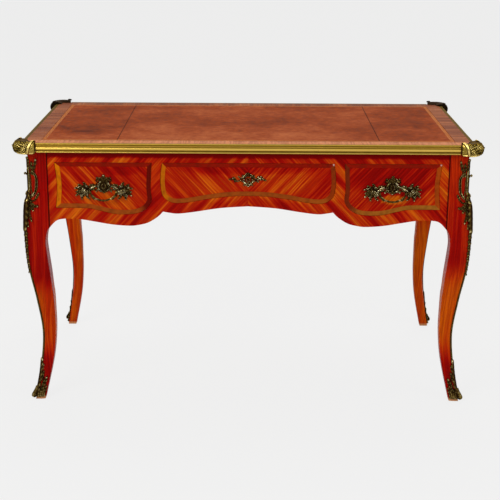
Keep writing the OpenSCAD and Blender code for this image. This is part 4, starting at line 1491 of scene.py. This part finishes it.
@dataclass(frozen=True)
class FootMounts:
    """Cast sabots: a fluted shoe, three tiers of leaves and a scroll that curls off the toe."""

    block: float = 8.0
    half: float = 25.5

    def shoe(self) -> Surface:
        """Height = a swell near the floor plus flutes across; the upper rim is cut into lobes.

        Returns:
            The shoe, laid flat.
        """
        t, v = strip(40, 73)
        rim = 36 + 5 * np.abs(np.cos(2.5 * np.pi * v)) - 7 * np.abs(v)
        z = self.block + (rim - self.block) * t
        flutes = np.abs(np.cos(4.5 * np.pi * v))
        height = 2.2 + 2.6 * (1 - ease(t / 0.8)) + 1.0 * flutes * (1 - 0.5 * t)
        height = height * np.sqrt(np.clip(1 - v**10, 0.05, 1))
        crest = 0.15 + 0.5 * flutes * (1 - 0.5 * t) + 0.15 * (1 - t)
        return relief(grid(self.half * v, z, height), crest)

    def one_side(self) -> Surface:
        """Leaves on one face of the foot.

        Returns:
            The leaves, laid flat.
        """
        return gather(
            Leaf([(8, 16), (12, 30), (15.5, 46), (18, 57), (20.5, 68)], 13, 4.2, 5, 0.5, 0.7, 2.6),
            Strap([(6, 14), (9, 30), (11, 46), (11, 60), (8, 74)], 4.0, 5.4, 0.4, 0.7),
            Leaf([(3, 50), (5, 62), (7, 74), (9.5, 86)], 8.5, 4.0, 4, 0.5, 0.8, 2.2),
            Leaf([(17, 9), (20, 18), (22, 29), (24.5, 41)], 9, 4.0, 3, 0.5, 0.7, 2.2),
            Leaf([(2, 78), (3.5, 88), (5, 97), (6.5, 106)], 5.5, 3.4, 3, 0.5, 0.8, 1.5),
        )

    def build(self) -> None:
        """Makes one foot mount for each leg."""
        spine = Leaf([(0, 18), (0, 42), (0, 68), (0, 94), (0, 126)], 15, 5.2, 7, 0.5, 0.7, 0.8, 0.7)
        flat = gather(self.one_side().with_mirror(), spine, self.shoe())
        toe = gather(
            curl([(40, 2.5), (31, 5.0), (24, 9.4), (17.5, 13.4), (11.5, 13.2), (8.6, 9.2),
                  (10.6, 5.6), (14.4, 6.0), (15.4, 9.4)], 17.0, 3.4),
            ball(0, 13.6, 8.6, 4.6),
        )
        add_on_legs("foot_mount", flat, toe, DARK_BRONZE)


@dataclass(frozen=True)
class CornerMounts:
    """Cast shells on the corners of the top, carved like rockwork, with a bright rim below and a
    leafy collar that slants down on each side."""

    inset: float = 18.0
    reach: float = 22.0
    top: float = 787.0
    foot: float = 751.5
    half: float = 38.0
    # The share of crest that the back mounts keep, so they render darker than the front ones.
    tarnish: float = 0.25
    collar_top: float = 0.12
    collar_turn: float = 2.75
    collar_in: float = 37.0
    collar_run: float = 17.0
    collar_half: float = 5.2

    @property
    def arc(self) -> float:
        """Half the length of the quarter turn at the moulding's face."""
        return math.pi / 4 * self.inset

    def mapping(self, sx: int, sy: int) -> Mapping:
        """Lays (u, z, h) round the corner: u along a quarter turn with a straight run at each end,
        z up, h out from the face of the brass edge.

        Args:
            sx: the sign of the corner's x.
            sy: the sign of the corner's y.

        Returns:
            The mapping.
        """
        centre_x, centre_y = WOOD_X + EDGE - self.inset, WOOD_Y + EDGE - self.inset

        def mapping(flat: np.ndarray) -> np.ndarray:
            """Lays points (count, 3) of the flat form."""
            u, z, h = flat.T
            on_arc = np.clip(u, -self.arc, self.arc)
            a = np.pi / 4 + on_arc / self.inset
            x = centre_x + (self.inset + h) * np.cos(a) - (u - on_arc) * np.sin(a)
            y = centre_y + (self.inset + h) * np.sin(a) + (u - on_arc) * np.cos(a)
            return grid(sx * x, sy * y, z) * MM

        return mapping

    def section(self, u: np.ndarray, theta: np.ndarray) -> tuple[np.ndarray, np.ndarray]:
        """Height and distance out of the bare shell at u along it and theta down its section: half
        a circle that stands on a flat ledge, both drawn in away from the corner.

        Args:
            u: how far along the shell.
            theta: the angle down from its top.

        Returns:
            Heights, and distances out from the brass edge.
        """
        past = np.clip(np.abs(u) - self.arc, 0, None)
        radius = self.inset + self.reach
        bulge = np.sqrt(radius**2 - np.minimum(past, 0.9 * radius) ** 2) - self.inset
        bulge = bulge * (1 - 0.5 * ease(past / 24))
        ledge = bulge * 0.19
        half = (self.top - self.foot) / 2
        z = (self.top + self.foot) / 2 + half * np.cos(theta) + 0 * u
        return z, ledge + (bulge - ledge) * np.sin(theta)

    def slant(self, theta: np.ndarray) -> np.ndarray:
        """How far along u the collar's middle stands at theta."""
        down = np.clip((theta - self.collar_top) / self.collar_turn, 0, 1)
        return self.collar_in - self.collar_run * (1 - (1 - down) ** 2.2)

    def shell(self) -> Surface:
        """Rings along u: the bare shell, stood out in knobs by two crossed sine waves that bend
        each other, with ribs that fan out from its foot, closed behind along the wood's edge. Past
        the collar it is plain.

        Returns:
            The shell, laid flat.
        """
        u = np.linspace(-self.half, self.half, 170)[:, None]
        theta = np.linspace(0, np.pi, 44)[None, :]
        z, out = self.section(u, theta)
        bend = 1.3 * np.sin(z / 3.1 + 0.4 * u)
        crossing = np.sin(2 * np.pi * z / 5.0 + 0.9 * np.sin(u / 3.4))
        knobs = np.sin(2 * np.pi * (u + bend) / 5.6) * crossing
        plain = np.clip((np.abs(u) - self.slant(theta)) / 3, 0, 1)
        knobs *= 1 - plain
        fan = np.cos(16 * np.arctan2(u, z - self.foot + 14)) * (1 - plain)
        sway = np.sin(theta)
        out = out + (1.3 * knobs + 0.8 * fan) * sway
        shown = np.clip(1.8 * sway, 0, 1)
        crest = (
            0.60 + 0.80 * knobs * shown + 0.12 * fan * shown - 0.15 * (theta < 0.5) + 0.2 * plain
        )
        behind = np.array([
            (-9.9, self.foot + 0.4), (-9.9, 758), (-9.9, 769), (-9.9, 780.1), (-18, 780.1),
            (-15, 783.2), (-9, 785.8),
        ])
        inner = np.broadcast_to(behind, (len(u), *behind.shape))
        outside = grid(out, z, crest)
        hidden = grid(inner[..., 0], inner[..., 1], np.where(inner[..., 1] > 783, 0.45, 0.2))
        h, z, crest = np.moveaxis(np.concatenate([outside, hidden], axis=1), 2, 0)
        return tube(grid(u, z, h), crest)

    def rim(self, theta: float, radius: float, crest: float, beads: float = 0.0) -> Surface:
        """A round cord along the shell at one angle of its section, swelling in beads where asked.

        Args:
            theta: the angle down the section.
            radius: the cord's radius.
            crest: how rubbed it is, with painted highlight.
            beads: how much it swells in beads.

        Returns:
            The cord, laid flat.
        """
        u, a = np.linspace(3 - self.half, self.half - 3, 240)[:, None], circle(10)
        up, out = self.section(u, np.array([[theta]]))
        swell = beads * np.cos(2 * np.pi * u / 5.2)
        thick = radius * (1 + swell)
        cord = grid(u, up + thick * np.sin(a), out + thick * np.cos(a))
        # The crest is higher on the cord's outward side: painted highlight.
        return tube(cord, crest + 0.1 * np.cos(a) + 0.5 * swell)

    def collar(self) -> Surface:
        """A smooth band from the upper edge, well in from the corner, down and out to the foot: an
        arched strip across that follows the shell's section and narrows on the way.

        Returns:
            The collar on one side, laid flat.
        """
        t, v = strip(90, 15)
        theta = self.collar_top + self.collar_turn * t
        u = self.slant(theta) + self.collar_half * v * (1 - 0.4 * t)
        z, out = self.section(u, theta)
        arch = np.sqrt(np.clip(1 - v**4, 0, 1))
        stand = 1.0 + 3.4 * arch
        ends = np.sqrt(np.clip(1 - (2 * t - 1) ** 12, 0.05, 1))
        face = grid(u, z + stand * ends * np.cos(theta), out + stand * ends * np.sin(theta))
        under = grid(u, z - np.cos(theta), out - np.sin(theta))
        crest = np.broadcast_to(0.74 + 0.30 * arch - 1.1 * np.abs(v) ** 5, u.shape)
        rings = np.concatenate([face, under[:, ::-1]], axis=1)
        return tube(rings, np.concatenate([crest, np.zeros_like(crest)], axis=1))

    def flat(self) -> Surface:
        """Shell, bright lower rim, beaded upper rim, a scallop on the corner, and both collars.

        Returns:
            The whole mount, laid flat.
        """
        scallop = gather(*(
            Leaf([(0, 756), (x / 2, 764), (x, 776)], 6.0, 3.6, 3, 0.4, 0.6, 1.6)
            for x in (-9, -3.2, 3.2, 9)
        ))
        return gather(
            self.shell(), self.rim(2.72, 2.4, 0.95), self.rim(0.62, 1.5, 0.5, 0.35),
            scallop.moved(h=self.reach - 2.2), self.collar().with_mirror(),
        )

    def build(self) -> None:
        """Makes one mount for each corner."""
        flat = self.flat()
        for corner, (sx, sy) in CORNERS.items():
            # The back mounts are dimmed copies of the front ones.
            toned = flat if sy < 0 else flat.dimmed(self.tarnish)
            made = toned.at_corner(self.mapping, sx, sy)
            add_piece(f"corner_mount_{corner}", "cast", made, SHELL_BRONZE)


def on_field(x0: float, z0: float) -> Mapping:
    """Mapping of a flat form (x, y, h) onto the drawers' fields, about the point (x0, z0).

    Args:
        x0: the point's x.
        z0: the point's height.

    Returns:
        The mapping.
    """
    def mapping(flat: np.ndarray) -> np.ndarray:
        """Lays points (count, 3) of the flat form."""
        x, y, h = flat.T
        return grid(x0 + x, -(FIELD_Y + h), z0 + y) * MM
    return mapping


def keyhole_path(
    middle: float, half_wide: float, half_high: float,
) -> Sequence[tuple[float, float]]:
    """An oval round a keyhole, open at its top, as points of a path."""
    return [
        (half_wide * math.sin(a), middle + half_high * math.cos(a))
        for a in np.linspace(0.2, 2 * math.pi - 0.2, 13)
    ]


@dataclass(frozen=True)
class Handles:
    """Handles of the side drawers: crown, keyhole cartouche, stems, flower sprays and a bail."""

    x: float = 412.5
    z: float = 638.0
    post: float = 47.0
    key_up: float = 17.0
    pin_out: float = 14.0
    drop: float = 24.0
    knuckle: float = 38.2

    def cartouche(self) -> Surface:
        """Scrolls round the keyhole on a dark lobed ground, under a crown of three leaves.

        Returns:
            The middle of the mount, laid flat.
        """
        halves = gather(
            Strap([(2, -1), (9, 0.5), (15, 6), (16.5, 14), (13, 22), (7, 27), (4, 24)],
                  5.4, 5.0, 0.6, 0.6),
            Strap([(5, 6), (9.5, 9), (11.5, 15), (9.5, 21), (6, 24)], 3.4, 4.6, 0.5, 0.6),
            Strap([(16, 17), (20, 15), (22.5, 18.5), (20.6, 22), (18, 20.4)], 3.4, 5.0, 0.4),
            Leaf([(13, 9), (17, 6), (20, 2), (21.5, -2)], 6.5, 3.6, 3, 0.5, 0.7, 2.4),
            Leaf([(7, 26), (11.5, 31), (15.5, 35), (19.5, 41.5)], 9.5, 4.2, 3, 0.55, 0.8, 3.0),
            Leaf([(3, 28), (5, 34), (8, 38), (12, 40.5)], 6.5, 3.8, 3, 0.5, 0.8, 2.4),
            Strap([(13, 24), (19, 27), (22, 32), (19.6, 34.6), (17.2, 32)], 3.0, 4.6, 0.4),
            Strap([(19, 13), (25, 13), (31, 10), (37, 5)], 5.4, 4.6, 0.6, 0.6),
            *(Boss(1.5, 5.8).at(x, y) for x, y in ((8.5, 3.6), (12.8, 11), (11, 24.5))),
        )
        return gather(
            Boss(15.5, 1.9, 9, 1, 1.05, 0.05).at(0, 12.5).dimmed(0.2),
            Boss(12.5, 1.9, 7, 1, 1.25, 0.06).at(0, 29).dimmed(0.2),
            halves.with_mirror(),
            Strap(keyhole_path(self.key_up - 1.5, 5.6, 7.2), 3.2, 4.2, 0.15, 1.0),
            Leaf([(0, 25), (0, 32), (0, 40), (0, 49)], 11.5, 5.2, 4, 0.5, 0.8, 2.6),
            Leaf([(0, 7), (0, 3), (0, -1), (0, -4.5)], 10, 4.6, 3, 0.5, 0.7, 2.0),
            Boss(2.1, 6.8).at(0, 46), Boss(1.9, 6.4).at(0, 27.5),
        )

    def spray(self) -> Surface:
        """Stem, roses, buds and leaves on the right-hand side, with a rose over the end of the
        bail.

        Returns:
            The right-hand spray, laid flat.
        """
        p = self.post
        return gather(
            Leaf([(p - 2, 8), (p - 6, 14), (p - 12, 18), (p - 17, 18)], 8, 3.6, 3, 0.6, 0.9, 3.0),
            Leaf([(p - 5, 4), (p - 10, 8), (p - 15, 9.5), (p - 20, 8)], 6.5, 3.2, 3, 0.6, 0.9, 2.4),
            Leaf([(p + 2, 9), (p + 4, 16), (p + 8, 22), (p + 10, 27)], 8.5, 3.4, 3, 0.6, 0.9, 3.0),
            Leaf([(p + 8, 8), (p + 15, 13), (p + 21, 18), (p + 27, 20)],
                 7.5, 3.4, 3, 0.6, 0.9, 3.0),
            Leaf([(p + 12, 3), (p + 20, 6), (p + 28, 9), (p + 36, 9)], 8, 3.4, 4, 0.6, 0.9, 3.0),
            Leaf([(p + 12, -2), (p + 20, -4), (p + 27, -8), (p + 33, -13)],
                 8, 3.4, 4, 0.6, 0.9, 3.0),
            Leaf([(p + 8, -6), (p + 13, -12), (p + 16, -18), (p + 15, -24)],
                 8, 3.4, 3, 0.6, 0.9, 3.0),
            Leaf([(p + 1, -7), (p + 1, -13), (p - 2, -19), (p - 7, -22)], 7, 3.2, 3, 0.6, 0.9, 2.4),
            Leaf([(p - 6, -5), (p - 10, -9), (p - 13, -14), (p - 18, -16)],
                 6.5, 3.0, 3, 0.6, 0.9, 2.0),
            Leaf([(p + 12, 1), (p + 20, 1), (p + 27, 0), (p + 33, -1.5)], 6, 3.8, 4, 0.6, 0.9, 2.0),
            Strap([(20, 12), (26, 15), (32, 12), (38, 7), (45, 2)], 5.0, 5.0, 0.5, 0.8),
            Strap([(24, 15), (28, 20), (33, 20.5), (34.5, 17), (31.5, 15.5)], 2.8, 4.0, 0.3),
            Strap([(14, 6), (20, 4), (27, 5), (34, 4), (41, -1)], 3.4, 4.0, 0.4),
            Boss(16.0, 1.7, 9, 1, 1.15, 0.12).at(p + 8, 1.0).dimmed(0.2),
            Boss(7.0, 5.6, 5, 3).at(p + 11.5, 2.5), Boss(4.8, 5.2, 5, 2).at(p + 17, -12.5),
            Boss(4.4, 5.2, 5, 2).at(p + 2, 14.5), Boss(3.4, 4.8, 5, 1).at(p + 24, 12.5),
            Boss(2.6, 4.8).at(p + 2, -15.5), Boss(2.2, 4.8).at(p + 28, -3.5),
            Boss(2.0, 4.6).at(p - 11, 14.5), Boss(8.0, 3.4, 5, 3).at(p + 2.8, 0.5, 18.4),
        )

    def post_turned(self) -> Surface:
        """Turned post that carries the pin: circles up its axis, with a rounded end.

        Returns:
            The right-hand post.
        """
        profile = np.array([
            (5.6, -0.5), (5.6, 1.5), (4.6, 3.0), (4.3, 6.0), (4.5, 9.0), (4.5, 15.5), (4.1, 17.6),
            (2.9, 18.7), (1.2, 19.0),
        ])
        radius, out, a = profile[:, :1], profile[:, 1:], circle(24)
        rings = grid(self.post + radius * np.cos(a), radius * np.sin(a), out)
        return tube(rings, np.where(out > 14, 0.9, 0.35))

    def bolt(self) -> Surface:
        """Threaded stud and square nut behind the drawer's front.

        Returns:
            The right-hand stud with its nut.
        """
        a, depth = circle(16), np.linspace(0, -25.8, 80)[:, None]
        radius = 1.9 + 0.1 * np.cos(depth * 2 * np.pi / 0.8)
        stud = tube(grid(self.post + radius * np.cos(a), radius * np.sin(a), depth))
        quarter = np.array([(1, 0.8), (0.8, 1), (-0.8, 1), (-1, 0.8)])
        x, y = np.concatenate([quarter, -quarter]).T
        rows = np.array([(4.65, -20.05), (5.0, -20.4), (5.0, -22.6), (4.65, -23.0)])
        half, out = rows[:, :1], rows[:, 1:]
        return gather(stud, tube(grid(self.post + half * x, half * y, out)))

    def bail(self) -> Surface:
        """Bowed rod with a leafy middle: circles along the arc, their radius swelling at the middle
        and in beads near the knuckles; knuckles, pins and four leaves are added.

        Returns:
            The bail, hanging.
        """
        half, drop = self.knuckle, self.drop
        radius = (half * half + drop * drop) / (2 * drop)
        span = math.asin(half / radius)
        t, around = np.linspace(-1, 1, 121)[:, None], circle(14)
        a = t * span
        beads = (
            np.exp(-(((np.abs(t) - 0.72) / 0.025) ** 2))
            + np.exp(-(((np.abs(t) - 0.64) / 0.018) ** 2))
        )
        thick = (
            2.1 + 0.6 * np.exp(-((t / 0.2) ** 2)) + 0.6 * beads
            + 0.7 * np.clip(np.abs(t) - 0.82, 0, 1) / 0.18
        )
        thick = thick + 1.2 * np.exp(-((t / 0.03) ** 2))
        reach = radius + thick * np.cos(around)
        out = self.pin_out + thick * np.sin(around)
        crest = 0.45 + 0.4 * beads + 0.4 * np.exp(-(((np.abs(t) - 0.4) / 0.2) ** 2))
        rod = tube(grid(reach * np.sin(a), radius - drop - reach * np.cos(a), out), crest)
        turned = np.array([
            (1.2, half - 4.0), (3.2, half - 3.4), (4.0, half - 1.5), (4.0, half + 2.2),
            (3.2, half + 3.8), (1.75, half + 3.95), (1.75, self.post + 1.9),
        ])
        thick, x = turned[:, :1], turned[:, 1:]
        knuckle = tube(grid(x, thick * np.sin(around), self.pin_out + thick * np.cos(around)), 0.6)
        leaves = gather(
            Leaf([(2, -drop), (8, 0.8 - drop), (14, 2.8 - drop), (19, 6 - drop)],
                 6.6, 2.4, 4, 0.4, 0.5, 0.6),
            Leaf([(35.5, -8), (31.5, -14), (27, -18.5), (22, -21.5)], 6.0, 2.4, 4, 0.4, 0.5, 0.6),
        )
        return gather(rod, gather(knuckle, leaves.moved(h=self.pin_out + 1.0)).with_mirror())

    def build(self) -> None:
        """Makes both mounts and both bails."""
        ends = gather(self.spray(), self.post_turned(), self.bolt()).with_mirror()
        mount, bail = gather(self.cartouche(), ends), self.bail()
        for side, sign, body, swing in (
            ("left", -1, Body.LEFT, Body.SWING_LEFT), ("right", 1, Body.RIGHT, Body.SWING_RIGHT),
        ):
            place = on_field(sign * self.x, self.z)
            add_piece(f"handle_mount_{side}", "cast", mount.placed(place), DARK_BRONZE, body)
            add_piece(f"bail_{side}", "cast", bail.placed(place), BRONZE, swing)


@dataclass(frozen=True)
class Escutcheon:
    """Pierced plate of the centre drawer: a diamond of scrolls with a leafy spray on each side."""

    z: float = 674.5

    def surface(self) -> Surface:
        """The forms of the plate, laid flat about its keyhole: a diamond of small scrolls, an arm
        that ends in a knob on the right and a thin broken one on the left.

        Returns:
            The plate, laid flat.
        """
        both = gather(
            Strap([(1.5, 18.5), (6, 15.5), (10, 11), (14.5, 6.5), (21, 3)], 4.4, 4.2, 0.5, 0.7),
            Strap([(1.5, -18.5), (6, -15.5), (10, -11), (14.5, -6.5), (21, -3)],
                  4.4, 4.2, 0.5, 0.7),
            Strap([(2.5, 12), (6.5, 9.5), (9.5, 5), (8, 1.5)], 3.0, 4.0, 0.4, 0.7),
            Strap([(2.5, -12.5), (6.5, -10), (10, -6), (8.8, -2)], 3.0, 4.0, 0.4, 0.7),
            Strap([(21, 2), (16.5, 4.5), (12.5, 2.5), (13, -2), (16.5, -3.2)], 3.0, 4.2, 0.4),
            Strap([(10.5, 12), (15.5, 13), (17.4, 9.4), (14.4, 8.4)], 2.8, 4.2, 0.3),
            Leaf([(8, -12), (11, -15), (13, -17.5)], 5.0, 3.6, 2, 0.5, 0.8, 1.6),
            *(Boss(2.4, 3.6, 5, 1).at(x, y) for x, y in ((6.5, 9.0), (7.0, -9.5), (12.0, 0))),
            *(Boss(1.5, 5.4).at(x, y) for x, y in ((11.5, 7.2), (11.5, -8.6), (19, 0.2))),
        )
        left = gather(
            Strap([(20, 0), (27, -4), (34, -4.5), (40, -1.5), (47, 1.5)], 4.2, 3.8, 0.3, 0.6),
            Leaf([(42, 1), (47, 1.5), (51, 1), (56, 0)], 4.6, 3.2, 3, 0.5, 0.8, 1.2),
            Leaf([(33, -3), (38, 3), (42, 7)], 5.0, 3.2, 2, 0.5, 0.8, 1.6),
            Leaf([(35, -4), (40, -7)], 4.5, 3.0, 2, 0.5),
            Leaf([(22, 2), (25, 7), (29, 10)], 5.0, 3.2, 2, 0.5, 0.8, 1.6),
        )
        return gather(
            both.with_mirror(), left.mirrored(),
            Leaf([(19, 0), (26, 1.5), (34, 3), (44, 1)], 9, 4.0, 4, 0.5, 0.8, 1.6),
            Leaf([(38, 3), (43, 1), (47, -1), (52, -2)], 6, 3.4, 3, 0.5, 0.8, 1.6),
            Leaf([(20, -2), (26, -5), (31, -6)], 5.5, 3.2, 3, 0.5, 0.8, 1.4),
            Strap(keyhole_path(-1.0, 4.8, 6.0), 2.8, 4.0, 0.15, 1.0),
            Leaf([(0, 7), (0, 12), (0, 16), (0, 21)], 7, 4.4, 3, 0.5, 0.7, 1.6),
            Leaf([(0, -8), (0, -12), (0, -16), (0, -20)], 7, 4.2, 3, 0.5, 0.7, 1.6),
            Boss(6.2, 5.2, 5, 2, 1.4).at(34.0, 4.5), Boss(3.4, 5.2, 5, 1).at(-43.5, 3.0),
            Boss(2.2, 5.4).at(0, -19), Boss(2.0, 5.6).at(0, 15.5),
        )

    def build(self) -> None:
        """Makes the plate."""
        plate = self.surface().placed(on_field(0, self.z))
        add_piece("escutcheon", "cast", plate, DARK_BRONZE, Body.CENTRE)


@dataclass(frozen=True)
class CarriedWood:
    """Veneers and plain woods for the CAD nodes whose shape stays as it is."""

    def finishes(self) -> dict[str, Finish]:
        """The finish of every CAD node that is shown, by name.

        Returns:
            The finishes, by CAD node.
        """
        surround = Veneer(
            "frieze_veneer_slant", slant=-48.0, warmth=-0.02, seed=1.0, joints=True, broad=2.0,
            zones=(
                Zone((-420, 0, 560), (150, 0, 45), 0.2), Zone((-550, 0, 690), (22, 0, 60), 0.25),
                Zone((420, 0, 560), (150, 0, 40), 0.06), Zone((555, 0, 660), (20, 0, 80), 0.2),
                Zone((-110, 0, 640), (150, 0, 30), 0.16), Zone((150, 0, 640), (130, 0, 30), 0.26),
                # The last zone, darker just under the top's edge, is painted shadow of the
                # overhang.
                Zone((-262, 0, 670), (22, 0, 60), 0.18), Zone((0, 0, 753), (0, 0, 15), -0.7),
            ),
        )
        field_front = Veneer(
            "field_veneer_slant", slant=48.0, warmth=0.0, seed=4.0, broad=0.9, streaky=1.4,
            wide=46.0,
            zones=(
                Zone((-430, 0, 615), (110, 0, 48), 0.24), Zone((-360, 0, 700), (50, 0, 16), -0.2),
                Zone((-95, 0, 655), (75, 0, 32), 0.12), Zone((110, 0, 670), (90, 0, 42), 0.15),
                Zone((0, 0, 705), (190, 0, 16), -0.2), Zone((430, 0, 680), (140, 0, 50), -0.32),
                Zone((415, 0, 617), (36, 0, 14), 0.5), Zone((520, 0, 650), (16, 0, 60), 0.15),
            ),
        )
        # Painted glints at the mitre corners of the drawers' top bevels.
        mitre_glints = (
            Zone((-547, -330, 727), (3, 60, 4), 0.6), Zone((243, -330, 722), (3, 60, 6), 0.8),
            Zone((548, -330, 722), (3, 60, 5), 0.7),
        )
        # Both bevel materials paint light and shade by the way each bevel leans.
        bevel = BandingPaintedLight("bevel_banding_painted_light", worn=mitre_glints)
        bevel_side = BandingPaintedLight("bevel_banding_side", lay=Lay.SIDE)
        side = Veneer(
            "side_veneer_slant", lay=Lay.SIDE, slant=-48.0, seed=8.0, broad=1.7, joints=True
        )
        border = Veneer(
            "top_border_crossband", lay=Lay.ACROSS_TOP, broad=0.9, streaky=0.6, seed=9.0, gloss=0.5,
            tones=((0.10, 0.024, 0.008), (0.190, 0.048, 0.015), (0.320, 0.098, 0.032),
                   (0.55, 0.205, 0.085)),
            # The front strip's lift is painted sheen; the back strip is a little darker.
            zones=(Zone((0, -322, 780), (0, 22, 0), 0.5), Zone((0, 322, 780), (0, 22, 0), -0.1)),
        )
        oak = PlainWood("oak_planed")
        brass = PlateMetal("lock_brass_filed")
        steel = PlateMetal(
            "bolt_steel_filed", bright=(0.5, 0.5, 0.5), dull=(0.22, 0.21, 0.2), rough=0.36
        )
        found: dict[str, Finish] = {
            "top_panel": border, "front_top_rail": surround, "front_apron": surround,
            "front_stiles": surround, "back_panel": surround, "back_panel_mouldings": bevel,
            "side_panel_left": side, "side_panel_right": side, "side_panel_mouldings": bevel_side,
            "partitions": oak, "drawer_guides": oak, "glue_blocks": oak,
        }
        for side_name in ("left", "centre", "right"):
            found |= {
                f"drawer_{side_name}_front": field_front, f"drawer_{side_name}_moulding": bevel,
                f"drawer_{side_name}_box": oak, f"drawer_{side_name}_bottom": oak,
                f"drawer_{side_name}_lock_case": brass, f"drawer_{side_name}_lock_bolt": steel,
            }
        return found

    def build(self) -> None:
        """Puts each finish on its CAD node."""
        for node, finish in self.finishes().items():
            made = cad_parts[node]
            made.data.materials.clear()
            made.data.materials.append(finish.material())
            LOG.info("%s: %s", node, finish.name)


# ---------------------------------------------------------------- studio


@dataclass(frozen=True)
class Studio:
    """Camera at the photograph's angle, a pale floor and soft lamps."""

    focal_px: float = 1193.0143
    frame_px: int = 500
    pitch: float = 0.2894449
    roll: float = 0.0054801
    yaw: float = -0.0006731
    eye: tuple[float, float, float] = (0.0085153, -3.6421400, 1.4523184)
    backdrop: Colour = (0.882, 0.882, 0.880)
    paper: Colour = (0.80, 0.80, 0.79)
    sky: Colour = (0.42, 0.42, 0.43)
    shadow_kept: float = 0.07
    floor_half: float = 40.0

    def camera(self) -> None:
        """Camera whose axes are the photograph's right, up and viewing directions."""
        forward = Vector((
            math.sin(self.yaw) * math.cos(self.pitch), math.cos(self.yaw) * math.cos(self.pitch),
            -math.sin(self.pitch),
        ))
        right = Vector((math.cos(self.yaw), -math.sin(self.yaw), 0))
        up = right.cross(forward)
        across = math.cos(self.roll) * right + math.sin(self.roll) * up
        rise = -math.sin(self.roll) * right + math.cos(self.roll) * up
        lens = bpy.data.cameras.new("camera")
        lens.sensor_width = 36.0
        lens.lens = lens.sensor_width * self.focal_px / self.frame_px
        lens.clip_end = 200.0
        made = add_object("camera", lens)
        axes = Matrix((across, rise, -forward)).transposed().to_4x4()
        made.matrix_world = Matrix.Translation(self.eye) @ axes
        bpy.context.scene.camera = made

    def floor(self) -> None:
        """A wide pale floor of its own colour to the camera, which keeps some of the shadow."""
        mesh = bpy.data.meshes.new("floor")
        half = self.floor_half
        corners = [(-half, -half, 0), (half, -half, 0), (half, half, 0), (-half, half, 0)]
        mesh.from_pydata(corners, [], [(0, 1, 2, 3)])
        finish = bpy.data.materials.new("floor_paper")
        finish.use_nodes = True
        graph = Graph(finish.node_tree)
        seen = graph.node("LightPath", output="Is Camera Ray")
        matt = graph.node("BsdfDiffuse", sockets={"Color": self.paper})
        glow = graph.node("Emission", sockets={"Color": self.backdrop, "Strength": 1.0})
        mixed = graph.node(
            "MixShader", sockets={0: seen * (1 - self.shadow_kept), 1: matt, 2: glow}
        )
        graph.node("OutputMaterial", sockets={"Surface": mixed})
        mesh.materials.append(finish)
        add_object("floor", mesh)

    def world(self) -> None:
        """Pale backdrop for the camera and reflections, a weaker soft light for everything else."""
        scene = bpy.context.scene
        scene.world = bpy.data.worlds.new("studio")
        scene.world.use_nodes = True
        graph = Graph(scene.world.node_tree)
        seen, glossy, through = (
            graph.node("LightPath", output=f"Is {ray} Ray")
            for ray in ("Camera", "Glossy", "Transmission")
        )
        colour = graph.mix(seen.highest(glossy).highest(through), self.sky, self.backdrop)
        light = graph.node("Background", sockets={"Color": colour, "Strength": 1.0})
        graph.node("OutputWorld", sockets={"Surface": light})

    def lamp(
        self, name: str, place: Sequence[float], aim: Sequence[float], size: float, watts: float,
    ) -> None:
        """A square soft lamp at place, facing aim.

        Args:
            name: the lamp's name.
            place: where it stands.
            aim: the point that it faces.
            size: the length of its side.
            watts: its power.
        """
        light = bpy.data.lights.new(name, "AREA")
        light.shape = "SQUARE"
        light.size = size
        light.energy = watts
        turn = (Vector(aim) - Vector(place)).to_track_quat("-Z", "Y")
        made = add_object(name, light)
        made.matrix_world = Matrix.Translation(place) @ turn.to_matrix().to_4x4()

    def build(self) -> None:
        """Sets up the whole studio."""
        self.camera()
        self.floor()
        self.world()
        self.lamp("key", (-2.2, -3.0, 3.0), (0, 0, 0.5), 2.2, 95.0)
        self.lamp("fill", (3.0, -2.2, 1.8), (0, 0, 0.4), 2.4, 40.0)
        self.lamp("top", (0.3, 1.6, 3.4), (0, 0, 0.7), 2.4, 60.0)
        bpy.context.scene.view_settings.view_transform = "Standard"


def main() -> None:
    """Builds the studio and every sub-assembly in order."""
    Studio().build()
    for assembly in (
        CarriedWood(), Legs(), EdgeMoulding(), Leathers(), CornerMounts(), KneeMounts(),
        LegFillets(), FootMounts(), Handles(), Escutcheon(),
    ):
        assembly.build()


if __name__ == "__main__":
    main()
